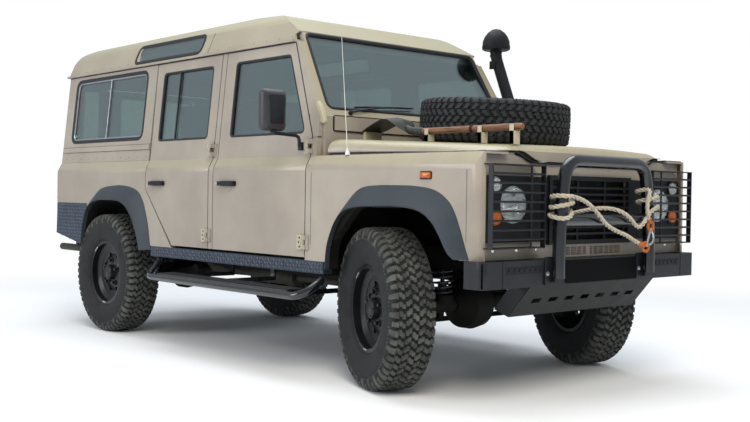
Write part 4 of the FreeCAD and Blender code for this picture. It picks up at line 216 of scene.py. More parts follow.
# Spade steel: nearly black, with some olive left.
SPADE = surface("olive enamel on spade steel, scraped",
                ["#171916", "#2B2E28"], (0.5, 0.6), 18.0, 0.2, 300.0)
# Chromed bowls and mirror glass: they throw the surroundings back.
CHROME = surface("chromed reflector, spun", ["#DDE0E2", "#F2F4F5"], (0.04, 0.08), 9.0, metallic=1.0)
# Bare plate: a flat black that shows nothing.
PLATE_BLACK = surface("black plate plastic, cast flat",
                      ["#040405", "#080809"], (0.6, 0.7), 9.0, 0.05, 300.0, specular=0.08)
# Mirror shells: grained dark grey, dustier on top.
MIRROR_SHELL = surface("dark brown-grey mirror shell, moulded",
                       ["#232325", "#313134"], (0.4, 0.5), 9.0, 0.3, 1500.0, ("#47474A", 0.4))
# Fibreglass: a pale thread.
AERIAL = surface("pale fibreglass whip, drawn", ["#B9BCB8", "#CFD1CC"], (0.4, 0.5), 20.0)
# Rivet heads: dull dots, darker than the paint.
DARK_RIVET = surface("weathered rivet heads, pressed", ["#4E483F", "#6B6457"], (0.5, 0.6), 30.0)
# Spring wire: dark coils that just show in the black arch.
SPRING_BLUE = surface("dark enamel on spring wire, dipped",
                      ["#23262B", "#2F3238"], (0.4, 0.55), 12.0, 0.1, 500.0)


def wood():
    """Ash handle: long grain rings along the shaft show it as wood, darkened by hands."""
    material, tree = blank("ash wood, turned and oiled")
    place = add(tree, "TexCoord").outputs["Object"]
    long = add(tree, "Mapping", {"Vector": place, "Scale": (14.0, 1.1, 14.0)}).outputs["Vector"]
    grain = add(tree, "TexNoise", {"Vector": long, "Scale": 9.0, "Detail": 6.0}).outputs["Fac"]
    colour = ramp(tree, grain, [(0.35, "#4A2C18"), (0.6, "#7A5232")])
    shader = add(tree, "BsdfPrincipled", {"Base Color": colour, "Roughness": 0.5})
    add(tree, "OutputMaterial", {"Surface": shader.outputs["BSDF"]})
    return material


def lens(name, code, rough, flutes=0.0, density=1.0):
    """Coloured or clear moulded lens: light passes into it, and its flutes break the reflector up."""
    material, tree = blank(name)
    place = add(tree, "TexCoord").outputs["Object"]
    values = {"Base Color": linear(code), "Roughness": rough, "IOR": 1.49, "Transmission Weight": density}
    if flutes:
        wave = add(tree, "TexWave", {"Vector": place, "Scale": flutes, "Distortion": 0.0},
                   bands_direction="X")
        values["Normal"] = add(tree, "Bump", {"Height": wave.outputs["Fac"], "Strength": 0.5,
                                              "Distance": 0.002}).outputs["Normal"]
    shader = add(tree, "BsdfPrincipled", values)
    add(tree, "OutputMaterial", {"Surface": shader.outputs["BSDF"]})
    return material


def pane_glass():
    """Window glass: clear, with a faint green in its thickness and a mirror-like face at low angles."""
    material, tree = blank("toughened window glass, floated")
    place = add(tree, "TexCoord").outputs["Object"]
    film = add(tree, "TexNoise", {"Vector": place, "Scale": 2.2, "Detail": 3.0}).outputs["Fac"]
    rough = ramp(tree, film, [(0.4, 0.0), (0.8, 0.03)])
    edge = add(tree, "LayerWeight", {"Blend": 0.35}).outputs["Fresnel"]
    share = ramp(tree, edge, [(0.0, 0.16), (0.9, 0.6)])
    clear = add(tree, "BsdfTransparent", {"Color": linear("#CBD6D2")}).outputs["BSDF"]
    shine = add(tree, "BsdfGlossy", {"Color": linear("#E9F1F4"), "Roughness": rough}).outputs["BSDF"]
    mixed = add(tree, "MixShader", {"Fac": share, 1: clear, 2: shine})
    add(tree, "OutputMaterial", {"Surface": mixed.outputs["Shader"]})
    return material


# Ash: brown grain that runs along the shaft.
WOOD = wood()
# Panes: tinted and clear, mirror-like at low angles.
GLASS = pane_glass()
# Headlamp glass: flutes that break the reflector into bands.
HEAD_LENS = lens("fluted headlamp glass, pressed", "#F4F7F8", 0.02, 60.0)
# Lamp plastic: a little cloudy, in white, amber and red, so that the bowl behind lights it up.
CLEAR_LENS = lens("clear lamp plastic, moulded", "#EEF1F2", 0.12, 90.0)
AMBER_LENS = lens("amber lamp plastic, moulded", "#E0761A", 0.15, 90.0, 0.5)
RED_LENS = lens("red lamp plastic, moulded", "#B01818", 0.15, 90.0, 0.4)

# The CAD nodes that aren't sand paint
FINISH = {"arch_flares": PLASTIC, "chequer_plates": CHEQUER, "clear_lamps": HEAD_LENS,
          "signal_lamps": AMBER_LENS, "exhaust": PIPE, "shovel": WOOD, "seats": CLOTH, "tow_rope": ROPE,
          "rope_fittings": ORANGE}
for material, nodes in (
        (BLACK_PLASTIC, "grille raised_intake mirror_left mirror_right dashboard steering_wheel"),
        (GUARD_BLACK, "front_bumper lamp_guards aerial_wipers"),
        (GLOSS_BLACK, "bull_bar side_steps"),
        (UNDERSIDE, "fuel_tank floor_bulkhead chassis_frame front_axle rear_axle knuckle_left knuckle_right"),
        (UNDERSIDE, "track_rod suspension drivetrain"),
        (RIM_BLACK, "rim_front_left rim_front_right rim_rear_left rim_rear_right spare_rim"),
        (RUBBER, "tyre_front_left tyre_front_right tyre_rear_left tyre_rear_right spare_tyre"),
        (GLASS, "front_door_glass_left front_door_glass_right rear_door_glass_left rear_door_glass_right"),
        (GLASS, "tail_door_glass fixed_glass")):
    FINISH.update(dict.fromkeys(nodes.split(), material))


def round_edges(item, width, angle):
    """A bevel on the edges sharper than an angle in degrees."""
    bevel = item.modifiers.new("Bevel", "BEVEL")
    bevel.width = width
    bevel.segments = 2
    bevel.limit_method = "ANGLE"
    bevel.angle_limit = math.radians(angle)
    return bevel


def subdivide(item):
    """One level of subdivision."""
    smooth = item.modifiers.new("Subdivision", "SUBSURF")
    smooth.levels = 1
    smooth.render_levels = 1


def dress_cad():
    """Give every CAD piece its material, weld its doubled corners and round its hard edges a little."""
    sharp = ("glass", "tyre", "rim", "lamps", "tow_rope", "rope_fittings")
    for node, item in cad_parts.items():
        item.data.materials.clear()
        item.data.materials.append(FINISH.get(node, SAND))
        if not any(word in node for word in sharp):
            weld = item.modifiers.new("Weld", "WELD")
            weld.merge_threshold = 0.00002
            bevel = round_edges(item, 0.0012, 35)
            bevel.harden_normals = True
            bevel.use_clamp_overlap = True


class Shape:
    """Corners and faces of one piece, built from boxes, rings and tubes."""

    def __init__(self):
        self.corners = []
        self.faces = []

    def take(self, corners, faces, place=None):
        """Add corners, moved by a matrix, and faces that count them from 0."""
        start = len(self.corners)
        self.corners += [place @ Vector(c) if place else Vector(c) for c in corners]
        self.faces += [[start + index for index in face] for face in faces]

    def rings(self, rings, place=None, closed=False):
        """Join rings of equal count, capped at the ends; closed joins the last ring to the first."""
        count = len(rings[0])
        faces = []
        for row in range(len(rings) if closed else len(rings) - 1):
            below = row * count
            above = (row + 1) % len(rings) * count
            for index in range(count):
                after = (index + 1) % count
                faces.append([below + index, below + after, above + after, above + index])
        if not closed:
            faces.append(list(range(count))[::-1])
            faces.append([(len(rings) - 1) * count + index for index in range(count)])
        self.take([c for ring in rings for c in ring], faces, place)

    def box(self, x, y, z, place=None):
        """A box between pairs of X, Y and Z."""
        ring = [(x[0], y[0]), (x[1], y[0]), (x[1], y[1]), (x[0], y[1])]
        self.rings([[(a, b, c) for a, b in ring] for c in z], place)

    def tube(self, points, radius, sides=10, closed=False):
        """A tube along points; radius is one number or one for each point."""
        points = [Vector(p) for p in points]
        count = len(points)
        radii = radius if isinstance(radius, (list, tuple)) else [radius] * count
        rings = []
        normal = None
        for index, point in enumerate(points):
            before = points[index - 1] if index or closed else point
            after = points[(index + 1) % count] if index + 1 < count or closed else point
            along = (after - before).normalized()
            if normal is None:
                normal = along.orthogonal().normalized()
            normal = (normal - along * normal.dot(along)).normalized()
            across = along.cross(normal)
            ring = [normal * math.cos(t) + across * math.sin(t) for t in circle(sides)]
            rings.append([point + step * radii[index] for step in ring])
        self.rings(rings, closed=closed)

    def lathe(self, outline, sides, place=None, closed=False):
        """An outline of (along X, radius) points turned about the X axis."""
        self.rings([[(along, radius * math.cos(t), radius * math.sin(t)) for t in circle(sides)]
                    for along, radius in outline], place, closed)

    def grid(self, rows):
        """A sheet of rows of corners."""
        wide = len(rows[0])
        faces = [[r * wide + c, r * wide + c + 1, (r + 1) * wide + c + 1, (r + 1) * wide + c]
                 for r in range(len(rows) - 1) for c in range(wide - 1)]
        self.take([c for row in rows for c in row], faces)

    def finish(self, name, material, body, slot, bevel=0.0, sharp=35.0, thick=0.0):
        """Make the object, smooth up to an angle in degrees, and tie it to its body; slot is not used."""
        mesh = bpy.data.meshes.new(name)
        mesh.from_pydata([tuple(c) for c in self.corners], [], self.faces)
        item = bpy.data.objects.new(name, mesh)
        bpy.context.scene.collection.objects.link(item)
        work = bmesh.new()
        work.from_mesh(mesh)
        bmesh.ops.recalc_face_normals(work, faces=work.faces)
        for edge in work.edges:
            edge.smooth = not edge.is_manifold or edge.calc_face_angle(0.0) < math.radians(sharp)
        for face in work.faces:
            face.smooth = True
        work.to_mesh(mesh)
        work.free()
        mesh.materials.append(material)
        if thick:
            solid = item.modifiers.new("Solidify", "SOLIDIFY")
            solid.thickness = thick
            solid.offset = -1.0
        if bevel:
            round_edges(item, bevel, sharp)
        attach(item, body)
        return item


def place_at(position, facing):
    """A matrix at a position with its X axis along facing and its Z axis as upright as it goes."""
    x = Vector(facing).normalized()
    up = Vector((0, 0, 1)) if abs(x.z) < 0.9 else Vector((0, 1, 0))
    y = up.cross(x).normalized()
    matrix = Matrix((x, y, x.cross(y))).transposed().to_4x4()
    matrix.translation = Vector(position)
    return matrix


def bolt(shape, position, facing, radius=0.006, tall=0.004):
    """A hexagon head on a washer."""
    place = place_at(position, facing)
    shape.lathe([(0.0, radius * 1.5), (tall * 0.3, radius * 1.5)], 12, place)
    shape.lathe([(tall * 0.3, radius), (tall, radius), (tall * 1.15, radius * 0.8)], 6, place)


# Camera, floor, backdrop and light
def set_camera(scene):
    """The camera of the photograph, turned by where its right, its top and its view point."""
    scene.view_settings.view_transform = "Standard"
    right = Vector((0.74594881, -0.66584376, 0.01457611))
    up = Vector((-0.00027263, 0.02158066, 0.99976707))
    forward = Vector((0.66600323, 0.74577903, -0.01591654))
    camera = bpy.data.cameras.new("Camera")
    camera.sensor_width = 36.0
    camera.lens = 49.467
    camera.clip_end = 200.0
    holder = bpy.data.objects.new("Camera", camera)
    matrix = Matrix((right, up, -forward)).transposed().to_4x4()
    matrix.translation = Vector((-4.17997662, -5.18740906, 0.96617859))
    holder.matrix_world = matrix
    scene.collection.objects.link(holder)
    scene.camera = holder


def lay_floor(scene):
    """A pale floor that turns white for the camera away from the car."""
    floor = bpy.data.meshes.new("Floor")
    floor.from_pydata([(-40, -40, 0), (40, -40, 0), (40, 40, 0), (-40, 40, 0)], [], [(0, 1, 2, 3)])
    ground = bpy.data.objects.new("Floor", floor)
    scene.collection.objects.link(ground)
    # Floor paint: even and matt, so that it shows the car's soft shadow and nothing else.
    material, tree = blank("pale studio floor, painted")
    grain = add(tree, "TexNoise", {"Scale": 3.0}).outputs["Fac"]
    colour = ramp(tree, grain, [(0.3, "#E9EAEA"), (0.7, "#EFEFEE")])
    matt = add(tree, "BsdfPrincipled", {"Base Color": colour, "Roughness": 0.9})
    place = add(tree, "TexCoord").outputs["Object"]
    away = add(tree, "VectorMath", {0: place}, operation="LENGTH").outputs["Value"]
    far = add(tree, "MapRange", {"Value": away, "From Min": 3.2, "From Max": 6.5},
              interpolation_type="SMOOTHSTEP")
    seen = add(tree, "LightPath").outputs["Is Camera Ray"]
    share = add(tree, "Math", {0: far.outputs["Result"], 1: seen}, operation="MULTIPLY")
    white = add(tree, "Emission", {"Color": linear("#FFFFFF"), "Strength": 1.0})
    mixed = add(tree, "MixShader", {"Fac": share.outputs["Value"], 1: matt.outputs["BSDF"],
                                    2: white.outputs["Emission"]})
    add(tree, "OutputMaterial", {"Surface": mixed.outputs["Shader"]})
    floor.materials.append(material)


def light_world(scene):
    """A white backdrop that lights the car with a soft, cooler sky."""
    world = bpy.data.worlds.new("Studio")
    scene.world = world
    world.use_nodes = True
    tree = world.node_tree
    tree.nodes.clear()
    path = add(tree, "LightPath")
    seen = add(tree, "Math", {0: path.outputs["Is Camera Ray"], 1: path.outputs["Is Transmission Ray"]},
               operation="MAXIMUM")
    plain = add(tree, "Background", {"Color": linear("#FFFFFF"), "Strength": 1.0}).outputs["Background"]
    soft = add(tree, "Background", {"Color": linear("#DDE4EA"), "Strength": 0.75}).outputs["Background"]
    both = add(tree, "MixShader", {"Fac": seen.outputs["Value"], 1: soft, 2: plain})
    add(tree, "OutputWorld", {"Surface": both.outputs["Shader"]})


def hang_lights(scene):
    """Three round area lights; the key light stays out of reflections, so that glass keeps its depth."""
    for name, position, target, size, watts, code in (
            ("Key", (-4.5, -6.5, 6.5), (0, -0.6, 0.8), 5.0, 620.0, "#FFF8EE"),
            ("Top", (0.5, 0.5, 7.5), (0, 0, 0), 7.0, 420.0, "#F4F8FF"),
            ("Side", (-8.0, 2.5, 3.5), (0, 0.5, 1.0), 4.0, 260.0, "#F6F8FF")):
        light = bpy.data.lights.new(name, "AREA")
        light.shape = "DISK"
        light.size = size
        light.energy = watts
        light.color = linear(code)[:3]
        holder = bpy.data.objects.new(name, light)
        holder.location = position
        holder.visible_glossy = name != "Key"
        turn = (Vector(target) - Vector(position)).to_track_quat("-Z", "Y")
        holder.rotation_euler = turn.to_euler()
        scene.collection.objects.link(holder)


def stage():
    """Camera, floor, backdrop and lights."""
    scene = bpy.context.scene
    set_camera(scene)
    lay_floor(scene)
    light_world(scene)
    hang_lights(scene)


# Tow rope, in the CAD rope's own numbers; the leg's are millimetres
ROPE_RADIUS = 0.011
HOOP_Y = at(-746)
ROPE_TURN = 52
LEG_LOW = 819
LEG_TALL = 319
LEG_HALF = 365
LEG_LEAN = 43


def leg_point(side, turn, height):
    """A point of a coil round a leg of the hoop; a turn of 0 is on its inner side, 90 in front."""
    half = LEG_HALF - LEG_LEAN * (height - LEG_LOW) / LEG_TALL
    angle = math.radians(turn)
    across = half - ROPE_TURN * math.cos(angle)
    return Vector((side * across * MM, HOOP_Y - ROPE_TURN * MM * math.sin(angle), height * MM))


def leg_coil(side, keys):
    """Twelve points to the turn round a leg, between keys of an angle and a height in millimetres."""
    points = []
    for (turn, low), (last, high) in zip(keys, keys[1:]):
        steps = (last - turn) // 30
        for step in range(steps):
            points.append(leg_point(side, turn + 30 * step, low + (high - low) * step / steps))
    return points + [leg_point(side, *keys[-1])]


def rope_points():
    """The CAD rope's points: slung from the shackle, round one leg, over the bar, round the other leg."""
    front = -ROPE_TURN
    slung = [(236, front, 731), (170, front, 752), (93, front, 786), (8, front, 806), (-72, front, 836),
             (-122, front, 876), (-172, front, 913), (-226, front, 943), (-270, front, 957),
             (-306, front, 965)]
    near = leg_coil(-1, [(90, 971), (180, 974), (360, 950), (540, 922), (720, 912), (750, 903), (780, 888),
                         (810, 874), (840, 868), (870, 870), (900, 876), (990, 888)])
    over = [(-312, 53, 889), (-262, 54, 888), (-190, 53, 891), (-110, 41, 906), (-22, 8, 919), (62, -30, 908),
            (122, front, 872), (160, front - 2, 834), (196, front - 2, 820), (232, front - 2, 838),
            (268, front, 872), (304, front, 903)]
    far = leg_coil(1, [(90, 921), (180, 930), (360, 956), (540, 984), (690, 1004)])
    splice = [(297, -2, 1010), (296, -36, 1013), (277, -62, 1005), (256, -70, 979), (246, -66, 940),
              (257, -60, 893), (284, -56, 846)]

    def placed(points):
        """Points of millimetres about the hoop, set in space."""
        return [Vector((x * MM, HOOP_Y + y * MM, z * MM)) for x, y, z in points]
    return placed(slung) + near + placed(over) + far + placed(splice)


def route_of(points):
    """Close points along a spline of the rope's corners, read back from the curve itself."""
    curve = bpy.data.curves.new("Route", "CURVE")
    curve.dimensions = "3D"
    curve.resolution_u = 8
    spline = curve.splines.new("NURBS")
    spline.points.add(len(points) - 1)
    for spot, point in zip(spline.points, points):
        spot.co = (*point, 1.0)
    spline.order_u = 3
    spline.use_endpoint_u = True
    holder = bpy.data.objects.new("Route", curve)
    bpy.context.scene.collection.objects.link(holder)
    mesh = bpy.data.meshes.new_from_object(holder)
    route = [vertex.co.copy() for vertex in mesh.vertices]
    bpy.data.objects.remove(holder)
    bpy.data.meshes.remove(mesh)
    bpy.data.curves.remove(curve)
    return route


def even(route, step):
    """The same route in equal steps."""
    out = [route[0]]
    left = step
    for first, last in zip(route, route[1:]):
        run = (last - first).length
        while run > 0 and left <= run:
            out.append(first.lerp(last, left / run))
            left += step
        left -= run
    out.append(route[-1])
    return out


def rope_ends(route):
    """Sewn orange sleeves over both rope ends, their eyes, and the bow shackle that joins them."""
    sleeves = Shape()
    centres = []
    for line in (route[:8], route[:-6:-1]):
        along = (line[0] - line[1]).normalized()
        radii = [0.0152 + 0.0008 * math.sin(step * 2.1) for step in range(len(line))]
        sleeves.tube([line[0] + along * 0.002] + line, [0.0135] + radii, 14)
        centre = line[0] + along * 0.022
        centres.append(centre)
        across = Vector((along.z, 0.0, -along.x)).normalized()
        loop = [centre - along * 0.026 * math.cos(t) + across * 0.0215 * math.sin(t) for t in circle(24)]
        sleeves.tube(loop, [0.0078 + 0.0006 * math.sin(step * 1.7) for step in range(24)], 10, closed=True)
    item = sleeves.finish("rope_sleeves", ORANGE, "car", "rope_fibre", sharp=60)
    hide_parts("rope_fittings")
    link = (centres[0] - centres[1]).normalized()
    out = link.cross(Vector((0, 1, 0))).normalized()
    if out.x < 0:
        out = -out
    pin = (centres[0] + centres[1]) / 2 + out * 0.004
    shackle = Shape()
    bow = [pin + link * 0.036 * math.cos(t) + out * 0.044 * math.sin(t) for t in circle(32)[:17]]
    shackle.tube(bow, 0.0062, 10)
    shackle.tube([pin + link * reach for reach in (0.047, 0.03, -0.03, -0.047)], 0.0068, 12)
    bolt(shackle, pin + link * 0.046, link, 0.009, 0.006)
    shackle.finish("rope_shackle", BRIGHT, "car", "bare_steel", sharp=50)


def tow_rope():
    """Three laid strands that follow the rope's route, and the rope's sleeved ends and shackle."""
    spline = route_of(rope_points())
    route = even(spline, 0.006)
    pace = 0.004
    lay = 0.078
    fine = even(spline, pace)
    strands = Shape()
    for strand in range(3):
        line = []
        normal = (fine[1] - fine[0]).orthogonal().normalized()
        for index, point in enumerate(fine):
            along = (fine[min(index + 1, len(fine) - 1)] - fine[max(index - 1, 0)]).normalized()
            normal = (normal - along * normal.dot(along)).normalized()
            turn = 2 * math.pi * (index * pace / lay + strand / 3)
            away = normal * math.cos(turn) + along.cross(normal) * math.sin(turn)
            line.append(point + away * ROPE_RADIUS * 0.55)
        strands.tube(line, ROPE_RADIUS * 0.46, 10)
    rope = strands.finish("rope_laid", ROPE, "car", "rope_fibre", sharp=80.0)
    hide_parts("tow_rope")
    rope_ends(route)


# Wheels: their centres and the way their outer faces look, the front ones turned by 20 degrees
WHEELS = [
    ("front_left", (0.73468, -1.4992, AXLE_Z), (0.939693, -0.342020, 0.0)),
    ("front_right", (-0.73468, -1.4048, AXLE_Z), (-0.939693, 0.342020, 0.0)),
    ("rear_left", (0.743, 1.342, AXLE_Z), (1.0, 0.0, 0.0)),
    ("rear_right", (-0.743, 1.342, AXLE_Z), (-1.0, 0.0, 0.0)),
]
# The spare wheel: the slope it lies on, the height there and half its width
SPARE_SLOPE = math.atan2(54, 1103)
SPARE_DECK = 1.2428
SPARE_HALF = 0.1178
# The tread: blocks in a row, their pitch in radians, and the grooves' depth
TREAD_COUNT = 56
PITCH = 2 * math.pi / TREAD_COUNT
GROOVE = 0.0118


def spare_place():
    """The spare wheel's place: flat on the bonnet's slope, its outer face up."""
    lean = Matrix.Rotation(SPARE_SLOPE, 4, "X")
    position = Vector((0.0, at(-5), SPARE_DECK)) + lean @ Vector((0.0, 0.0, SPARE_HALF))
    return Matrix.Translation(position) @ lean @ place_at((0, 0, 0), (0, 0, 1))


def crown(v):
    """The tread's radius at a distance from its middle, in metres."""
    return AXLE_Z - 0.008 * max(0.0, (abs(v) - 0.05) / 0.05) ** 1.5


# One tread block's outline as shares of its pitch and width: a Z whose arms lock into its neighbours
ZED = [(-0.46, -0.5), (0.12, -0.5), (0.2, -0.12), (0.46, 0.06), (0.46, 0.5), (-0.12, 0.5), (-0.2, 0.12),
       (-0.46, -0.06)]
# The sidewall from shoulder to bead as (across, radius), and the tyre's inner face back up
WALL = [(0.100, 0.3835), (0.108, 0.372), (0.111, 0.352), (0.1128, 0.342), (0.1132, 0.338), (0.1145, 0.335),
        (0.1160, 0.315), (0.1172, 0.292), (0.1166, 0.268), (0.1155, 0.262), (0.1150, 0.258), (0.1132, 0.254),
        (0.1050, 0.236), (0.0985, 0.226), (0.0960, 0.224), (0.0860, 0.2185), (0.0825, 0.2125),
        (0.0825, 0.2070)]
INNER_WALL = [(0.0805, 0.2070), (0.0850, 0.235), (0.1030, 0.262), (0.1090, 0.300), (0.1020, 0.350),
              (0.080, 0.372)]


def tread_block(shape, middle, row, long, wide, place):
    """One tread block, its foot a little wider than its top; a minus width turns the Z over."""
    rings = []
    for depth, grow in ((0.012, 1.06), (0.0015, 1.0), (0.0, 0.93)):
        ring = []
        for u, v in ZED:
            across = row + v * wide * grow
            turn = middle + u * long * grow
            radius = crown(across) - depth
            ring.append((across, radius * math.cos(turn), radius * math.sin(turn)))
        rings.append(ring)
    shape.rings(rings, place)


def shoulder_lug(shape, end, middle, long, place):
    """One lug that wraps from the tread down the sidewall, every other one longer."""
    reach = [(0.0865, 0.401), (0.099, 0.3965), (0.1075, 0.385), (0.1125, 0.368 if long else 0.376)]
    if long:
        reach.append((0.1150, 0.350))
    outer = []
    deep = []
    for step, (across, radius) in enumerate(reach):
        wide = PITCH * (0.33 if long else 0.27) * (1.0 - 0.05 * step)
        for edge in (-1, 1):
            for corners, x, r, grow in ((outer, across, radius, 1.0),
                                        (deep, across - 0.004, radius - 0.0105, 1.1)):
                turn = middle + edge * wide * grow
                corners.append((x * end, r * math.cos(turn), r * math.sin(turn)))
    count = len(outer)
    rim = list(range(0, count, 2)) + list(range(1, count, 2))[::-1]
    pairs = range(0, count - 2, 2)
    faces = [[low, low + 1, low + 3, low + 2] for low in pairs]
    faces += [[a, b, b + count, a + count] for a, b in zip(rim, rim[1:] + rim[:1])]
    faces += [[count + low, count + low + 2, count + low + 3, count + low + 1] for low in pairs]
    shape.take(outer + deep, faces, place)


def tyre(name, node, body, place, tread=TREAD):
    """An all-terrain tyre: five rows of interlocking blocks, wrapped shoulder lugs, ribbed sidewalls."""
    half = [(v, crown(v) - GROOVE) for v in (0.0, 0.03, 0.06, 0.09)] + WALL
    outline = [(-x, r) for x, r in half[:0:-1]] + half + INNER_WALL + [(-x, r) for x, r in INNER_WALL[::-1]]
    wall = Shape()
    wall.lathe(outline, 96, place, closed=True)
    carcass = wall.finish(name + "_carcass", RUBBER, body, "tyre_rubber", sharp=50.0)
    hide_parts(node)
    blocks = Shape()
    for row, across in enumerate((-0.068, -0.034, 0.0, 0.034, 0.068)):
        shift = (row % 2) * 0.5 + (0.25 if row in (0, 4) else 0.0)
        wide = -0.0295 if row % 2 else 0.0295
        for step in range(TREAD_COUNT):
            long = PITCH * (0.78 if step % 3 else 0.9)
            tread_block(blocks, (step + shift) * PITCH, across, long, wide, place)
    for end in (-1, 1):
        for step in range(TREAD_COUNT):
            shoulder_lug(blocks, end, (step + 0.25) * PITCH, step % 2 == 0, place)
    for end in (-1, 1):
        for step in range(TREAD_COUNT * 2):
            lean = Matrix.Rotation((step + 0.5) * PITCH / 2, 4, "X")
            blocks.box(span(end * 0.112, 0.0035), (0.342, 0.351), span(0.0, 0.0028), place @ lean)
    blocks.finish(name + "_tread", tread, body, "tyre_rubber", sharp=40.0)


def wheel_details(name, body, place, spare=False):
    """Nuts on their cones, hub cap, valve and balance weights of a steel wheel."""
    dark = Shape()
    bright = Shape()
    face = 0.048

    def off_centre(radius, turn):
        """The wheel's place moved off its middle."""
        return place @ Matrix.Translation((0, radius * math.cos(turn), radius * math.sin(turn)))
    for turn in circle(5):
        nut = off_centre(0.0825, turn + 0.3)
        dark.lathe([(face - 0.006, 0.02), (face + 0.002, 0.017), (face + 0.002, 0.0)], 16, nut)
        dark.lathe([(face, 0.0115), (face + 0.016, 0.0115), (face + 0.019, 0.009), (face + 0.019, 0.0)], 6,
                   nut)
    if not spare:
        dark.lathe([(0.060, 0.046), (0.073, 0.044), (0.078, 0.036), (0.080, 0.0)], 32, place)
        for turn in circle(5):
            dark.lathe([(0.07, 0.0065), (0.0785, 0.0065), (0.0795, 0.005)], 6, off_centre(0.036, turn))
    valve = place @ Matrix.Rotation(0.9, 4, "X") @ Matrix.Translation((0, 0.178, 0))
    dark.lathe([(0.03, 0.006), (0.058, 0.005), (0.066, 0.0042), (0.068, 0.003)], 10, valve)
    for first, count in ((2.2, 3), (4.6, 2)):
        for step in range(count):
            turned = place @ Matrix.Rotation(first + step * 0.085, 4, "X")
            bright.box((0.086, 0.0925), (0.2005, 0.2085), (-0.008, 0.008), turned)
    dark.finish(name + "_nuts", BRIGHT if spare else GUARD_BLACK, body, "black_steel", bevel=0.0006)
    bright.finish(name + "_weights", BRIGHT, body, "bare_steel", bevel=0.0006)


def wheels():
    """Four road wheels and the spare on the bonnet."""
    for name, position, facing in WHEELS:
        place = place_at(position, facing)
        tyre("tyre_" + name, "tyre_" + name, "wheel_" + name, place)
        wheel_details("wheel_" + name, "wheel_" + name, place)
    tyre("spare", "spare_tyre", "bonnet", spare_place(), SPARE_TREAD)
    wheel_details("spare_wheel", "bonnet", spare_place(), spare=True)


# Bonnet, in millimetres: its front, its length, its rolled edge's radius and that edge's drop below the top
BONNET_FRONT = -655
BONNET_LONG = 1103
BONNET_EDGE = 62
BONNET_FOLD = 9


def bonnet_section(distance):
    """Half the bonnet's width and its top's height at a distance behind the front axle."""
    share = (distance - BONNET_FRONT) / BONNET_LONG
    return 600 + 182 * share, 1211 + 54 * share


def bonnet_row(distance, columns=48):
    """The skin's corners across the bonnet: a slight crown, a rolled edge and an upright side."""
    half, top = bonnet_section(distance)
    nose = max(0.0, (-600 - distance) / 55.5)
    drop = 55 * (1 - math.sqrt(max(0.0, 1 - nose * nose))) + 6 * max(0.0, (distance - 430) / 18)
    flat = half - BONNET_EDGE
    roll = BONNET_EDGE * math.pi / 2
    row = []
    for column in range(columns + 1):
        u = 2 * column / columns - 1
        s = abs(u) * (flat + roll + 22)
        if s <= flat:
            x = s
            z = max(top + 3 - 12 * (s / flat) ** 2, top - BONNET_FOLD)
        elif s <= flat + roll:
            turn = (s - flat) / BONNET_EDGE
            x = flat + BONNET_EDGE * math.sin(turn)
            z = top - BONNET_FOLD - (BONNET_EDGE - BONNET_FOLD) * (1 - math.cos(turn))
        else:
            x = half
            z = top - BONNET_EDGE - (s - flat - roll)
        row.append((math.copysign(x, u) * MM, at(distance), max(z - drop, 1179) * MM))
    return row


def bonnet():
    """A crowned lid that tapers forwards, its nose rolled over in the middle and lifted over the lamps."""
    distances = [448, 446, 438, 400] + list(range(340, -560, -60)) + [-600, -622, -638, -648, -654, -655.5]
    rows = [bonnet_row(distance) for distance in distances]
    last = rows[-1]
    for step in range(1, 5):
        row = []
        for x, y, z in last:
            blend = max(0.0, min(1.0, (abs(x) / MM - 395) / 150))
            foot = (1131 + 48 * blend * blend * (3 - 2 * blend)) * MM
            row.append((x, y, z + (foot - z) * step / 4))
        rows.append(row)
    sheet = Shape()
    sheet.grid(rows)
    lid = sheet.finish("bonnet_skin", SAND, "bonnet", "sand_paint", sharp=60.0, thick=0.003)
    subdivide(lid)
    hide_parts("bonnet")


# Landing pieces on the CAD faces
TREES = {}


def land(node, origin, direction):
    """The place where a ray meets a CAD node."""
    if node not in TREES:
        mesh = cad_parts[node].data
        faces = [p.vertices for p in mesh.polygons]
        TREES[node] = BVHTree.FromPolygons([v.co for v in mesh.vertices], faces)
    return TREES[node].ray_cast(Vector(origin), Vector(direction))[0]


def side_hit(node, side, distance, height):
    """The place where a level ray from outside meets a node, or None; millimetres."""
    return land(node, (1.5 * side, at(distance), height * MM), (-side, 0, 0))


def on_side(node, side, distance, height, out=0.0):
    """A place on a node's outer face, out metres off it; distance and height are millimetres."""
    spot = side_hit(node, side, distance, height)
    if spot is None:
        return Vector((side * (half_at(height * MM) + out), at(distance), height * MM))
    return spot + Vector((side * out, 0, 0))


def facing_out(side, half, distance, height):
    """A matrix on the car's side with its X axis outwards; distance and height are millimetres."""
    return place_at((side * half, at(distance), height * MM), (side, 0, 0))


# Outlines
def arc(start, corner, end, steps):
    """A curve that leaves start towards a corner and comes in at end."""
    shares = [step / steps for step in range(steps + 1)]
    return [start.lerp(corner, share).lerp(corner.lerp(end, share), share) for share in shares]


def rounded(corners, radius, steps=5):
    """A closed outline with its corners rounded."""
    out = []
    count = len(corners)
    for index, corner in enumerate(corners):
        corner = Vector(corner)
        before = Vector(corners[index - 1]) - corner
        after = Vector(corners[(index + 1) % count]) - corner
        reach = min(radius / math.tan(before.angle(after) / 2), 0.45 * before.length, 0.45 * after.length)
        out += arc(corner + before.normalized() * reach, corner, corner + after.normalized() * reach, steps)
    return out


def rounded_box(left, right, low, high, radius, steps=5):
    """A rectangle with its corners rounded."""
    return rounded([(left, low), (right, low), (right, high), (left, high)], radius, steps)


def cross_ring(outline, y, side=1):
    """An outline of (across, height) in millimetres as a ring across the car."""
    return [(side * p.x * MM, y, p.y * MM) for p in outline]


def side_ring(outline, side, half):
    """An outline of (distance, height) in millimetres as a ring on the car's side."""
    return [(side * half, at(p.x), p.y * MM) for p in outline]


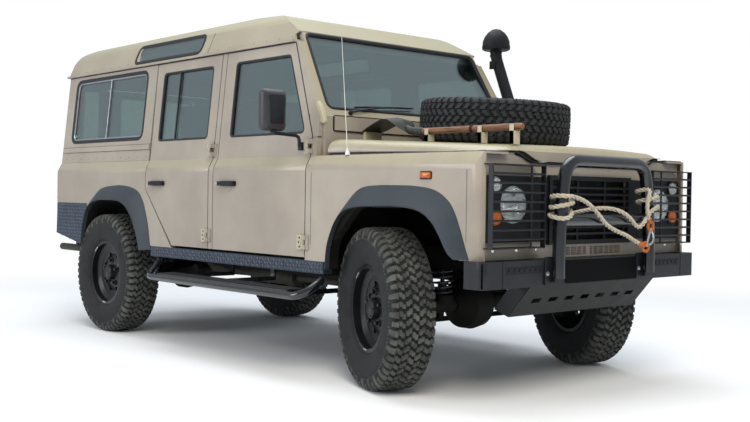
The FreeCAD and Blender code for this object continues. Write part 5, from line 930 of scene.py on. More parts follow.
def trim(shape, outline, section, lay):
    """Sweep a closed section of (inward, outward) steps round an outline that lay sets in space."""
    rings = []
    for index, point in enumerate(outline):
        along = (outline[(index + 1) % len(outline)] - outline[index - 1]).normalized()
        inward = Vector((-along.y, along.x))
        rings.append([lay(point + inward * step, out) for step, out in section])
    shape.rings(rings, closed=True)


def side_lay(side):
    """Sets a point of (distance, height) in millimetres on the body's side."""
    return lambda point, out: (side * (half_at(point.y * MM) + out * MM), at(point.x), point.y * MM)


# How far the roof's side comes in over its height
ROOF_IN = 0.072
ROOF_TALL = 0.167


def roof_lay(side):
    """Sets a point of (distance, height) in millimetres on the roof's sloping side."""
    return lambda point, out: (
        side * (GUTTER_HALF - ROOF_IN * (point.y * MM - GUTTER) / ROOF_TALL + out * MM),
        at(point.x), point.y * MM)


def cross_lay(y, facing, side=1):
    """Sets a point of (across, height) in millimetres on an upright face across the car."""
    return lambda point, out: (side * point.x * MM, y + facing * out * MM, point.y * MM)


# The windscreen's foot and its height along its slope, in millimetres, and its steps back and up for each
SCREEN_FOOT = 548
SCREEN_LOW = 1427
SCREEN_TALL = 494.3
SCREEN_BACK = 249 / SCREEN_TALL
SCREEN_UP = 427 / SCREEN_TALL


def screen_lay(point, out):
    """A place on the leaning windscreen: across, along its slope and out from it, in millimetres."""
    return (point.x * MM, at(SCREEN_FOOT) + (SCREEN_BACK * point.y - SCREEN_UP * out) * MM,
            (SCREEN_LOW + SCREEN_UP * point.y + SCREEN_BACK * out) * MM)


# Openings, and seal sections as (inward, outward) steps, in millimetres
FRONT_WINDOW = rounded([(633, 1290), (1354, 1290), (1354, 1732), (829, 1732)], 30)
REAR_WINDOW = rounded_box(1597, 2181, 1290, 1732, 30)
QUARTER = rounded_box(2400, 3430, 1317, 1761, 60, 8)
ALPINE = rounded_box(1796, 2620, 1836, 1946, 40, 6)
SCREEN = rounded([(-700, 0), (700, 0), (668, SCREEN_TALL), (-668, SCREEN_TALL)], 40, 6)
TAIL_WINDOW = rounded_box(-330, 330, 1325, 1692, 50)
CORNER_WINDOW = rounded([(499, 1336), (653.5, 1336), (634, 1722), (499, 1722)], 12)
LIP = [(-2, 1), (7, 1), (11, -4), (11, -9), (-2, -9)]
THICK_LIP = [(-13, 0), (-11, 4), (-3, 5), (5, 3), (12, -3), (12, -9), (-2, -9), (-4, 0)]


def pane_post(shape, side, distance, heights, inset, radius):
    """An upright bar behind a side pane."""
    shape.tube([(side * (half_at(z * MM) - inset), at(distance), z * MM) for z in heights], radius, 6)


def rubber_piece(shape, name, body="car"):
    """A rubber piece of a body."""
    shape.finish(name, SEAL, body, "tyre_rubber", sharp=60)


def seals():
    """Rubber seals round every pane, with the bright inner frame of the rear side windows."""
    for side, word in SIDES:
        lay = side_lay(side)
        front = Shape()
        trim(front, FRONT_WINDOW, LIP, lay)
        rubber_piece(front, "front_window_seal_" + word, "door_front_" + word)
        rear = Shape()
        trim(rear, REAR_WINDOW, LIP, lay)
        pane_post(rear, side, 1984, (1292, 1440, 1590, 1730), 0.006, 0.0065)
        rubber_piece(rear, "rear_window_seal_" + word, "door_rear_" + word)
        fixed = Shape()
        trim(fixed, QUARTER, THICK_LIP, lay)
        trim(fixed, ALPINE, THICK_LIP, roof_lay(side))
        rubber_piece(fixed, "quarter_seals_" + word)
        inner = Shape()
        trim(inner, QUARTER, [(12, -3), (20, -4), (22, -9), (12, -9)], lay)
        pane_post(inner, side, 2915, (1330, 1540, 1748), 0.008, 0.006)
        inner.finish("quarter_frame_" + word, ALUMINIUM, "car", "bare_steel", sharp=60)
    screen = Shape()
    trim(screen, SCREEN, [(-9, 1), (-6, 5), (6, 4), (13, -2), (13, -8), (-4, -8)], screen_lay)
    rubber_piece(screen, "screen_seal")
    tail = Shape()
    trim(tail, TAIL_WINDOW, THICK_LIP, cross_lay(TAIL_SEAL_Y, 1))
    rubber_piece(tail, "tail_seal", "tail_door")
    panes = Shape()
    rubber = Shape()
    for side in (-1, 1):
        panes.rings([cross_ring(CORNER_WINDOW, y, side) for y in (2.094, 2.098)])
        trim(rubber, CORNER_WINDOW, LIP, cross_lay(REAR_FACE, 1, side))
    panes.finish("corner_panes", GLASS, "car", "clear_glass", sharp=45)
    rubber_piece(rubber, "corner_seals")


def handles():
    """Black paddles over round pressed dishes on the four side doors."""
    grip = 1018
    for side, word in SIDES:
        for door, distance in (("front", 1306), ("rear", 2107)):
            body = "door_" + door + "_" + word
            rings = []
            for along, out, tall in ((-92, 2, 9), (-90, 22, 13), (-76, 31, 15), (-10, 33, 15), (54, 31, 14),
                                     (74, 26, 12), (88, 10, 8), (92, 2, 5)):
                ring = [(-1, -tall), (out * 0.8, -tall), (out, -tall * 0.7), (out, tall * 0.7),
                        (out * 0.8, tall), (-1, tall)]
                y = at(distance + along)
                rings.append([(side * (SIDE + x * MM), y, (grip + z) * MM) for x, z in ring])
            paddle = Shape()
            paddle.rings(rings)
            paddle.finish(body + "_paddle", BLACK_PLASTIC, body, "black_plastic", bevel=0.002)
            dish = Shape()
            dish.lathe([(-0.001, 0.048), (0.002, 0.0465), (0.0026, 0.043), (0.0014, 0.02), (0.0012, 0.0)],
                       48, facing_out(side, SIDE, distance - 6, grip))
            dish.finish(body + "_dish", SAND, body, "sand_paint", sharp=50)
            key = Shape()
            key.lathe([(0.03, 0.008), (0.0345, 0.0075), (0.0345, 0.0)], 16,
                      facing_out(side, SIDE, distance + 66, grip))
            key.finish(body + "_lock", BRIGHT, body, "bare_steel", bevel=0.0005)


def hinge_bolts():
    """Leaves and bolt heads on the hinges of the side doors."""
    for side, word in SIDES:
        for door, edge in (("front", 570), ("rear", 1512)):
            node = door + "_door_" + word
            body = "door_" + door + "_" + word
            heads = Shape()
            leaves = Shape()
            for height in (709, 1217):
                half = abs(on_side(node, side, edge + 34, height).x)
                leaf = rounded_box(edge + 13, edge + 52, height - 39, height + 39, 6)
                leaves.rings([side_ring(leaf, side, half + out) for out in (0.0, 0.003)])
                for step in (-24, 0, 24):
                    heads.lathe([(0.0, 0.0062), (0.0016, 0.0056), (0.0022, 0.003), (0.0008, 0.0)], 12,
                                facing_out(side, half + 0.0028, edge + 36 - abs(step) * 0.3, height + step))
            leaves.finish(node + "_hinge_leaves", CREAM, body, "sand_paint", bevel=0.0008)
            heads.finish(node + "_bolts", GUARD_BLACK, body, "black_steel")


def rivets():
    """Dome rivets along the capping strip and the gutters."""
    heads = Shape()
    large = [(0.0, 0.0042), (0.0016, 0.0036), (0.0026, 0.0)]
    small = [(0.0, 0.004), (0.0014, 0.0034), (0.0022, 0.0)]
    for side in (-1, 1):
        for node, height, distances, lean, dome in (("body_sides", 1192, range(2310, 3560, 118), 0.0, large),
                                                    ("roof", 1832, range(840, 3560, 125), 0.3, small)):
            for distance in distances:
                spot = on_side(node, side, distance, height, -0.0006)
                heads.lathe(dome, 10, place_at(spot, (side, 0, lean)))
    heads.finish("body_rivets", DARK_RIVET, "car", "sand_paint", sharp=60)


def diamond(shape, place, foot, top, tall):
    """A raised lozenge; foot and top are half its length and half its width there."""
    shape.rings([[(x, long, 0), (x, 0, wide), (x, -long, 0), (x, 0, -wide)]
                 for x, (long, wide) in ((-0.0002, foot), (tall, top))], place)


def lozenges():
    """Raised lozenges of the chequer plates on sills, rear corners and wing tops."""
    marks = Shape()
    pitch = 24.5

    def lozenge(place, count):
        """One lozenge, leaning the other way at every other place."""
        turn = Matrix.Rotation(math.radians(45 if count % 2 else -45), 4, "X")
        diamond(marks, place @ turn, (0.0135, 0.0048), (0.0105, 0.0026), 0.0022)
    for side in (-1, 1):
        for row, height in enumerate((563, 582, 601)):
            for column in range(66):
                lozenge(facing_out(side, 0.835, 420 + column * 26 + (row % 2) * 4, height), row + column)
        for row in range(12):
            height = 592 + row * pitch
            # The arch cuts the foot of the first column off.
            for column in range(1 if height < 746.4 else 0, 19):
                spot = side_hit("chequer_plates", side, 3096 + column * pitch, height)
                if spot is not None and abs(spot.x) > SIDE:
                    lozenge(place_at(spot, (side, 0, 0)), row + column)
        for step in range(43):
            distance = -650 + step * pitch
            inner = 626 + 150 * (distance + 660) / 1080
            for column in range(int((778 - inner) / 24) + 1):
                spot = (side * (inner + 12 + column * 24) * MM, at(distance), 1.169)
                lozenge(place_at(spot, (0, 0, 1)), step + column)
    marks.finish("chequer_lozenges", LOZENGE, "car", "black_plastic", sharp=30)


def lamp(place, radius, tall, glass, bowl, name):
    """A lamp: a black seat, a spun reflector with its bulb, and a moulded lens over it."""
    seat = Shape()
    seat.lathe([(-0.006, radius + 0.006), (0.002, radius + 0.006), (0.004, radius + 0.003),
                (0.003, radius - 0.001), (-0.006, radius - 0.001)], 48, place, closed=True)
    seat.finish(name + "_seat", BLACK_PLASTIC, "car", "black_plastic", sharp=50)
    reflector = Shape()
    curve = [(-bowl * share * share, radius * (1.0 - 0.86 * share ** 0.7) * 0.97) for share in
             (0.0, 0.15, 0.3, 0.5, 0.7, 0.85, 1.0)]
    reflector.lathe(curve[::-1] + [(x - 0.002, r + 0.0012) for x, r in curve], 48, place, closed=True)
    reflector.lathe([(-bowl, 0.009), (-bowl * 0.4, 0.008), (-bowl * 0.3, 0.004)], 16, place)
    reflector.finish(name + "_reflector", CHROME, "car", "bare_steel", sharp=50)
    cover = Shape()
    outline = [(-0.003, radius - 0.0015), (tall * 0.45, radius - 0.0025), (tall * 0.75, radius * 0.86),
               (tall * 0.9, radius * 0.62), (tall * 0.98, radius * 0.34), (tall, 0.0)]
    cover.lathe(outline + [(x - 0.0035, r * 0.96) for x, r in outline[::-1]], 64, place, closed=True)
    cover.finish(name + "_lens", glass, "car", "clear_glass", sharp=60)


def lamps():
    """Head, side, turn and tail lamps in place of the CAD's plain lenses, and the turn repeaters."""
    for side, word in SIDES:
        for name, (x, y, z), radius, tall, glass, bowl in (
                ("headlamp_", (0.585, -2.102, 0.929), 0.088, 0.0235, HEAD_LENS, 0.05),
                ("side_lamp_", (0.711, -2.109, 1.021), 0.035, 0.0165, CLEAR_LENS, 0.014),
                ("turn_lamp_", (0.711, -2.109, 0.869), 0.035, 0.0165, AMBER_LENS, 0.014),
                ("rear_turn_", (0.711, 2.119, 0.896), 0.038, 0.024, AMBER_LENS, 0.002),
                ("tail_lamp_", (0.711, 2.119, 0.786), 0.038, 0.024, RED_LENS, 0.002)):
            place = place_at((side * x, y, z), (0, 1 if y > 0 else -1, 0))
            lamp(place, radius, tall, glass, bowl, name + word)
        seat = Shape()
        outline = rounded_box(-377, -299, 1040, 1078, 9)
        seat.rings([side_ring(outline, side, SIDE + out) for out in (-0.001, 0.004)])
        seat.finish("repeater_seat_" + word, BLACK_PLASTIC, "car", "black_plastic", bevel=0.001)
        amber = Shape()
        rings = []
        for out, less in ((0.0035, 0), (0.010, 1), (0.0135, 5)):
            outline = rounded_box(-372 + less, -304 - less, 1045 + less, 1073 - less, 7)
            rings.append(side_ring(outline, side, SIDE + out))
        amber.rings(rings)
        amber.finish("repeater_lens_" + word, AMBER_LENS, "car", "amber_plastic", sharp=50)
    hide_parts("clear_lamps")
    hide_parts("signal_lamps")


def bumper_trim():
    """Tread bumps on their strips, end cap seams, bolts and the bare black plate on the bumper."""
    y = BUMPER_FACE
    bumps = Shape()
    strips = Shape()
    heads = Shape()
    strip = rounded_box(436, 694, 616, 652, 4)
    for side in (-1, 1):
        for step in range(7):
            for lean in (-1, 1):
                place = place_at((side * (0.45 + step * 0.037), y, 0.634 + lean * 0.004), (0, -1, 0))
                turn = Matrix.Rotation(lean * 0.6, 4, "X")
                diamond(bumps, place @ turn, (0.014, 0.005), (0.01, 0.003), 0.0045)
        strips.rings([cross_ring(strip, y + back, side) for back in (0.001, -0.0012)])
        strips.tube([(side * 0.716, y - 0.0004, z) for z in (0.556, 0.615, 0.674)], 0.0016, 6)
        strips.tube([(side * 0.716, y + back, 0.6763) for back in (0.0, 0.05, 0.1)], 0.0012, 6)
        for x in (0.316, 0.414):
            bolt(heads, (side * x, PAD_FACE, 0.612), (0, -1, 0), 0.009, 0.008)
        for x in (0.46, 0.6, 0.76):
            spot = land("lamp_guards", (side * x, -2.14, 0.6), (0, 0, 1))
            if spot is not None:
                bolt(heads, spot, (0, 0, -1), 0.006, 0.012)
    # Painted highlight: the bumps take a lighter black than the strips under them, for the light caught on
    # their raised edges.
    bumps.finish("bumper_tread", GUARD_BLACK, "car", "black_plastic", sharp=30)
    strips.finish("bumper_strips", BLACK_PLASTIC, "car", "black_plastic", sharp=30)
    heads.finish("guard_bolts", BRIGHT, "car", "bare_steel")
    plate = Shape()
    outline = rounded_box(-272, 290, 560, 670, 8)
    plate.rings([cross_ring(outline, y + back) for back in (0.0, -0.0045)])
    plate.finish("number_plate_blank", PLATE_BLACK, "car", "black_plastic", bevel=0.0012)


def vent_mesh():
    """Crossed wires in the two vents under the grille."""
    wires = Shape()
    for side in (-1, 1):
        for step in range(25):
            wires.box(span(side * (0.019 + step * 0.0102), 0.0012), (-2.0885, -2.0865), (0.683, 0.731))
        for step in range(6):
            wires.box(span(side * 0.1415, 0.128), (-2.0895, -2.0875), span(0.6865 + step * 0.0082, 0.001))
    wires.finish("vent_mesh", SAND, "car", "sand_paint")


# The middle of the spade's shaft, which lies along the bonnet
SPADE_X = -0.52
SPADE_Z = 1.29


def spade():
    """Garden spade: ash shaft, riveted socket and a dished olive blade over its rest."""
    shaft = Shape()
    ends = (-650, -640, -500, -300, -100, 10, 40)
    shaft.tube([(SPADE_X, at(y), SPADE_Z) for y in ends],
               [0.012, 0.0165, 0.017, 0.0165, 0.0165, 0.017, 0.017], 20)
    shaft.finish("spade_shaft", WOOD, "bonnet", "ash_wood", sharp=50)
    steel = Shape()
    socket = ((6, 0), (12, 0), (60, 0.001), (100, 0.008), (128, 0.026))
    steel.tube([(SPADE_X, at(y), SPADE_Z + rise) for y, rise in socket],
               [0.0195, 0.0215, 0.0215, 0.02, 0.015], 20)
    for y in (26, 64):
        bolt(steel, (SPADE_X - 0.0213, at(y), SPADE_Z), (-1, 0, 0), 0.004, 0.003)
    steel.finish("spade_socket", SPADE, "bonnet", "black_steel", sharp=50)
    rows = []
    for y, rise, half in ((96, 0, 18), (112, 12, 30), (132, 34, 62), (150, 56, 82), (175, 76, 88),
                          (205, 82, 89), (235, 80, 89), (290, 61, 88), (350, 39, 84), (400, 20, 74),
                          (428, 9, 56), (440, 4, 34)):
        row = []
        for step in range(13):
            u = step / 6 - 1
            dish = 0.009 * (u * u) * (half / 89)
            rib = 0.007 * max(0.0, 1 - abs(u) * 3.2) * max(0.0, 1 - (y - 96) / 190)
            row.append((SPADE_X + u * half * MM, at(y), SPADE_Z + rise * MM - 0.004 - dish + rib))
        rows.append(row)
    blade = Shape()
    blade.grid(rows)
    leaf = blade.finish("spade_blade", SPADE, "bonnet", "black_steel", sharp=70, thick=0.0025)
    subdivide(leaf)
    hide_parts("shovel")


def bonnet_fittings():
    """The spade's clips, rest and straps."""
    clips = Shape()
    for distance in (-600, -400, -40):
        foot = (bonnet_section(distance)[1] - 5) * MM
        along = span(at(distance), 0.013)
        for edge in (-0.0235, 0.0205):
            clips.box((SPADE_X + edge, SPADE_X + edge + 0.003), along, (foot, 1.301))
        clips.box(span(SPADE_X, 0.0235), along, (foot, 1.2715))
    foot = (bonnet_section(380)[1] - 5) * MM
    clips.box(span(SPADE_X, 0.058), (at(381), at(401)), (foot, 1.298))
    clips.finish("spade_clips", CREAM, "bonnet", "sand_paint", bevel=0.001)
    strap = Shape()
    for distance in (-340, -330):
        strap.tube([(SPADE_X + 0.0195 * math.cos(t), at(distance), SPADE_Z + 0.0195 * math.sin(t))
                    for t in circle(24)], 0.0022, 8, closed=True)
    rubber_piece(strap, "spade_strap", "bonnet")


def mirrors():
    """Wide door mirrors with a bulged back, on bent tube arms."""
    y = at(628)
    for side, word in SIDES:
        body = "door_front_" + word
        head = Shape()
        rings = []
        for back, less in ((30, 1), (26, 0), (4, 0), (-12, 5), (-22, 16), (-28, 32)):
            outline = rounded_box(925 + less, 1075 - less, 1290 + less * 1.3, 1508 - less * 1.3, 30, 6)
            rings.append(cross_ring(outline, y + back * MM, side))
        head.rings(rings)
        item = head.finish(body + "_mirror_head", MIRROR_SHELL, body, "black_plastic", sharp=45)
        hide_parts("mirror_" + word)
        pane = Shape()
        outline = rounded_box(935, 1065, 1300, 1498, 22, 6)
        pane.rings([cross_ring(outline, y + back, side) for back in (0.0295, 0.0305)])
        pane.finish(body + "_mirror_glass", CHROME, body, "bare_steel", sharp=45)
        panel = Shape()
        rings = []
        for back, less in ((-24, 0), (-28.5, 0), (-30, 3)):
            outline = rounded([(956 + less, 1326 + less), (1040 - less, 1326 + less),
                               (1048 - less, 1478 - less), (946 + less, 1478 - less)], 16, 6)
            rings.append(cross_ring(outline, y + back * MM, side))
        panel.rings(rings)
        panel.finish(body + "_mirror_panel", GUARD_BLACK, body, "black_plastic", sharp=45)
        arm = Shape()
        bend = ((0.83, 1.215), (0.831, 1.25), (0.838, 1.266), (0.856, 1.2735), (0.93, 1.277), (0.985, 1.279),
                (0.998, 1.286), (1.0, 1.305))
        arm.tube([(side * x, y, z) for x, z in bend], 0.0095, 12)
        arm.lathe([(-0.006, 0.017), (0.01, 0.017), (0.014, 0.012)], 16,
                  place_at((side, y, 1.284), (0, 0, 1)))
        arm.box(span(side * 0.8215, 0.0085), (at(612), y + 0.013), (1.195, 1.239))
        arm.finish(body + "_mirror_arm", GUARD_BLACK, body, "black_steel", bevel=0.001, sharp=45)


def wipers():
    """Wipers on the screen's frame."""
    arms = Shape()
    for middle in (-560, 120):
        def on_screen(*spots):
            """Places on the screen, counted across from the wiper's foot, in millimetres."""
            return [Vector(screen_lay(Vector((middle + x, along)), out)) for x, along, out in spots]
        foot, above = on_screen((0, -28, 0), (0, -28, 10))
        arms.lathe([(0.0, 0.012), (0.012, 0.012), (0.022, 0.009), (0.024, 0.0)], 16,
                   place_at(foot, above - foot))
        arms.tube(on_screen((0, -28, 14), (60, -16, 20), (180, 8, 17), (275, 25, 12)),
                  [0.007, 0.006, 0.005, 0.004], 8)
        arms.tube(on_screen((50, 14, 8), (160, 22, 10), (275, 27, 13), (390, 35, 10), (500, 40, 8)),
                  0.0032, 8)
        arms.tube(on_screen((44, 13, 3), (275, 26, 3), (505, 40, 3)), 0.0026, 6)
    item = arms.finish("wipers", GUARD_BLACK, "car", "black_steel", sharp=50)
    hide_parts("aerial_wipers")


def aerial():
    """A whip aerial on the right wing."""
    whip = Shape()
    foot = Vector((-0.802, at(262), WAIST))
    whip.lathe([(0.0, 0.013), (0.012, 0.012), (0.02, 0.007), (0.034, 0.005)], 16,
               place_at(foot, (0, 0.06, 1)))
    top = foot + Vector((0.0, 0.06, 0.604))
    whip.tube([foot.lerp(top, share) for share in (0.04, 0.3, 0.6, 1.0)],
              [0.0024, 0.002, 0.0016, 0.0012], 8)
    whip.finish("aerial", AERIAL, "car", "bare_steel", sharp=50)


def screen_brackets():
    """Cast brackets at the screen's feet."""
    cast = Shape()
    for side in (-1, 1):
        rings = []
        for z, front, rear, inner, outer in ((1339, 498, 520, 752, 768), (1348, 492, 532, 748, 773),
                                             (1392, 503, 545, 747, 775), (1440, 528, 562, 750, 775),
                                             (1459, 545, 566, 756, 770)):
            ring = rounded_box(side * inner, side * outer, front, rear, 6, 3)
            rings.append([(p.x * MM, at(p.y), z * MM) for p in ring])
        cast.rings(rings)
        bolt(cast, (side * 0.762, at(508), 1.372), (0, -1, 0.2), 0.006, 0.006)
    cast.finish("screen_brackets", CREAM, "car", "sand_paint", sharp=45)


def bull_bar():
    """A dipped tube hoop with its cross bar, on clamp pads."""
    corners = [Vector(c) for c in ((-365, 590), (-365, 830), (-322, 1138), (322, 1138), (365, 830),
                                   (365, 590))]
    line = [corners[0]]
    for before, corner, after, bend in zip(corners, corners[1:], corners[2:], (160, 95, 95, 160)):
        start = corner + (before - corner).normalized() * bend
        end = corner + (after - corner).normalized() * bend
        line += arc(start, corner, end, 8)
    line.append(corners[-1])
    hoop = Shape()
    hoop.tube(cross_ring(line, HOOP_Y), 0.031, 28)
    hoop.tube([(-0.345, HOOP_Y, 0.858), (0.345, HOOP_Y, 0.858)], 0.0305, 28)
    item = hoop.finish("bull_bar_hoop", GLOSS_BLACK, "car", "black_steel", sharp=50)
    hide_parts("bull_bar")
    pads = Shape()
    for side in (-1, 1):
        outline = rounded_box(*span(side * 365, 65), 560, 690, 8)
        pads.rings([cross_ring(outline, y) for y in (BUMPER_FACE, PAD_FACE)])
        pads.box(span(side * 0.365, 0.024), (HOOP_Y, PAD_FACE + 0.004), (0.572, 0.682))
    pads.finish("bull_bar_pads", GUARD_BLACK, "car", "black_steel", bevel=0.0015)


def steering_guard():
    """The slotted guard that slopes back below the bumper, with its cheeks and hangers."""
    guard = Shape()
    half = 0.498
    slots = 7
    low = Vector((at(-560), 0.4))
    high = Vector((at(-690), 0.554))

    def strip(first, last, left, right):
        """A strip of the sloping plate between two shares of its slope and two Xs."""
        rings = []
        for x in (left, right):
            ring = []
            for share, deep in ((first, 0.0), (last, 0.0), (last, 0.004), (first, 0.004)):
                spot = low.lerp(high, share)
                ring.append((x, spot.x + deep * 0.82, spot.y + deep * 0.5))
            rings.append(ring)
        guard.rings(rings)
    strip(0.0, 0.43, -half, half)
    strip(0.57, 1.0, -half, half)
    edges = [-half]
    for step in range(1, slots + 1):
        edges += span(step / (slots + 1) - 0.5, 0.032)
    edges.append(half)
    for left, right in zip(edges[::2], edges[1::2]):
        strip(0.425, 0.575, left, right)
    cheek = [(low.x, 0.4), (low.x + 0.09, 0.43), (high.x + 0.12, 0.552), (high.x, 0.552)]
    for side in (-1, 1):
        guard.rings([[(side * x, y, z) for y, z in cheek] for x in (half - 0.004, half)])
        guard.box(span(side * 0.372, 0.02), (at(-563), at(-553)), (0.402, 0.6))
    guard.finish("steering_guard", MATT_BLACK, "car", "black_steel", bevel=0.0008, sharp=40)


# Flares as (distance, height) in millimetres: where each leaves the side, and its lip round the arch
FRONT_OUTER = [(392, 590), (362, 690), (330, 770), (287, 845), (241, 901), (188, 957), (113, 1000),
               (2, 1012), (-141, 1013), (-278, 1009), (-397, 991), (-474, 951), (-519, 902), (-558, 823),
               (-597, 726), (-616, 682)]
FRONT_LIP = [(341, 582), (336, 660), (318, 734), (268, 828), (196, 886), (90, 905), (10, 909), (-70, 911),
             (-210, 910), (-332, 893), (-411, 850), (-463, 792), (-502, 733), (-530, 700), (-552, 688),
             (-560, 682)]
REAR_OUTER = [(2178, 590), (2194, 650), (2216, 745), (2250, 835), (2290, 909), (2357, 967), (2465, 995),
              (2570, 1004), (2646, 1004), (2790, 994), (2893, 972), (2980, 915), (3040, 840), (3080, 760),
              (3096, 690), (3102, 590)]
REAR_LIP = [(2262, 584), (2278, 640), (2306, 700), (2340, 755), (2378, 805), (2440, 860), (2520, 893),
            (2600, 903), (2729, 904), (2840, 901), (2921, 886), (2985, 856), (3030, 805), (3058, 740),
            (3076, 670), (3084, 590)]
# The flare's section from side to lip: shares of the way and millimetres outwards
BULGE = [(0.0, -1.0), (0.015, 3.0), (0.06, 5.0), (0.35, 21.0), (0.7, 37.0), (0.9, 43.5), (0.97, 45.5),
         (1.0, 44.5), (1.012, 41.0), (1.005, 30.0), (0.995, 16.0)]
ARCH_STEPS = 72


def smooth_line(points, count):
    """Even points along a smooth curve through the given ones."""
    dense = []
    last = len(points) - 1
    for index in range(last):
        a, b, c, d = (Vector(points[max(0, min(last, index + shift))]) for shift in (-1, 0, 1, 2))
        for step in range(8):
            t = step / 8
            dense.append(0.5 * (2 * b + (c - a) * t + (2 * a - 5 * b + 4 * c - d) * t * t
                                + (3 * b - a - 3 * c + d) * t ** 3))
    dense.append(Vector(points[-1]))
    lengths = [0.0]
    for first, second in zip(dense, dense[1:]):
        lengths.append(lengths[-1] + (second - first).length)
    out = []
    index = 0
    for step in range(count):
        want = lengths[-1] * step / (count - 1)
        while index < len(dense) - 2 and lengths[index + 1] < want:
            index += 1
        part = lengths[index + 1] - lengths[index]
        out.append(dense[index].lerp(dense[index + 1], (want - lengths[index]) / part))
    return out


def flares():
    """Moulded flares: a bulged skin from the side to a rolled lip round each arch."""
    shells = Shape()
    for outer, lip in ((FRONT_OUTER, FRONT_LIP), (REAR_OUTER, REAR_LIP)):
        pairs = list(zip(smooth_line(outer, ARCH_STEPS), smooth_line(lip, ARCH_STEPS)))
        for side in (-1, 1):
            shells.grid([side_ring([foot.lerp(brim, share) for foot, brim in pairs], side, SIDE + out * MM)
                         for share, out in BULGE])
    item = shells.finish("flare_skins", PLASTIC, "car", "black_plastic", sharp=70)
    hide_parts("arch_flares")


def arch_shade_liners():
    """Dark liners from each flare's lip over the body's edge and into the wheel box, partly painted shade."""
    liners = Shape()
    too_far = 90
    for node, lip in (("front_wings", FRONT_LIP), ("rear_tub", REAR_LIP)):
        edge = smooth_line(lip, ARCH_STEPS)
        middle = Vector(((edge[0].x + edge[-1].x) / 2, 640))
        inwards = [(middle - p).normalized() for p in edge]
        for side in (-1, 1):
            inner = []
            for p, step in zip(edge, inwards):
                reach = 0
                while reach < too_far:
                    if side_hit(node, side, p.x + step.x * reach, p.y + step.y * reach) is None:
                        break
                    reach += 6
                inner.append(p + step * (reach if reach < too_far else 0))
            deeper = [p + (middle - p).normalized() * 2 for p in inner]
            liners.grid([side_ring(edge, side, 0.8365), side_ring(inner, side, 0.8345),
                         side_ring(deeper, side, 0.79)])
            rows = [side_ring([p - step * grow for p, step in zip(edge, inwards)], side, half)
                    for half, grow in ((0.848, 0.5), (0.8, 3.0), (0.7, 5.0), (0.62, 6.0))]
            # At the front the steered tyre leaves room for two rows only.
            liners.grid(rows if node == "rear_tub" else rows[:2])
    # Partly painted shade: the black over the wing's and tub's inner faces stands for the shade inside the
    # wheel boxes.
    liners.finish("wheel_box_shade_liners", UNDERSIDE, "car", "black_steel", sharp=60)


def scuttle_trim():
    """Panels closing the posts below the screen, the flaps' seals, and painted-shade black boxes beside the
    grille.
    """
    fill = Shape()
    outline = [(526, 1262), (563, 1262), (563, 1271), (606, 1372), (606, 1389), (526, 1389)]
    rubber = Shape()
    panels = Shape()
    for side in (-1, 1):
        fill.rings([[(side * (half_at(z * MM) - deep), at(y), z * MM) for y, z in outline]
                    for deep in (0.0, 0.03)])
        trim(rubber, rounded_box(*span(side * 360, 343), 1302, 1383, 12),
             [(-3, 0), (-3, 7), (3, 7), (3, 0)], cross_lay(at(500), -1))
        # Painted shade: black boxes beside the grille that stand for the dark space seen behind the lamp
        # guards.
        panels.box(span(side * 0.3695, 0.0415), (-2.1035, -2.091), (0.757, 1.06))
    fill.finish("post_panels", SAND, "car", "sand_paint", bevel=0.001)
    rubber_piece(rubber, "flap_seals")
    panels.finish("grille_side_shade_panels", BLACK_PLASTIC, "car", "black_plastic", bevel=0.002)


def intake():
    """A raised intake: a bent tube with clamp bands and a round slotted head."""
    x = 0.813
    foot = at(490)
    y = at(710)
    tube = Shape()
    tube.tube([(x, foot, 1.167), (x, foot, 1.25), (x, foot + 0.004, 1.32), (x, foot + 0.028, 1.38),
               (x, y - 0.04, 1.76), (x, y - 0.012, 1.83), (x, y, 1.87), (x, y, 1.905)], 0.036, 28)
    for z in (1.862, 1.884):
        tube.lathe([(0.0, 0.0385), (0.013, 0.0385)], 32, place_at((x, y, z), (0, 0, 1)))
    tube.lathe([(0.0, 0.05), (0.0, 0.078), (0.006, 0.086), (0.03, 0.088), (0.058, 0.086), (0.088, 0.074),
                (0.115, 0.053), (0.134, 0.026), (0.14, 0.0)], 40, place_at((x, y, 1.902), (0, 0, 1)))
    for turn in circle(28):
        place = Matrix.Translation((x, y, 1.91)) @ Matrix.Rotation(turn, 4, "Z")
        tube.box((0.086, 0.0895), span(0.0, 0.0035), (0.0, 0.022), place)
    tube.box((x - 0.05, x - 0.03), (y - 0.03, y + 0.01), (1.78, 1.83))
    item = tube.finish("intake_tube", BLACK_PLASTIC, "car", "black_plastic", sharp=45)
    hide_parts("raised_intake")


def door_edges():
    """Black edge rubbers on the front and rear edges of the side doors."""
    heights = (640, 1100, 1120, 1140, 1165, 1180, 1480, 1790)
    front = ([(568.5, 640), (568.5, 1100), (568.5, 1120), (568.5, 1165), (568.5, 1270), (792.5, 1790)],
             [(1456.5, z) for z in heights])
    rear = ([(1510.5, z) for z in heights],
            [(1930, 640), (2256.5, 984), (2256.5, 1100), (2256.5, 1120), (2256.5, 1140), (2256.5, 1165),
             (2256.5, 1180), (2270, 1790)])
    for side, word in SIDES:
        for door, lines in (("front", front), ("rear", rear)):
            edge = Shape()
            for line, inside in zip(lines, (14, -14)):
                dense = []
                for (y, z), (far, top) in zip(line, line[1:]):
                    steps = max(1, int((top - z) / 30))
                    dense += [(y + (far - y) * s / steps, z + (top - z) * s / steps) for s in range(steps)]
                spots = []
                for y, z in dense + [line[-1]]:
                    spot = side_hit(door + "_door_" + word, side, y + inside, z)
                    x = side * half_at(z * MM)
                    if spot is not None and abs(spot.x) < SIDE + 0.002:
                        x = spot.x
                    spots.append((x - side * 0.0022, at(y), z * MM))
                edge.tube(spots, 0.0028, 6)
            rubber_piece(edge, door + "_door_edge_" + word, "door_" + door + "_" + word)


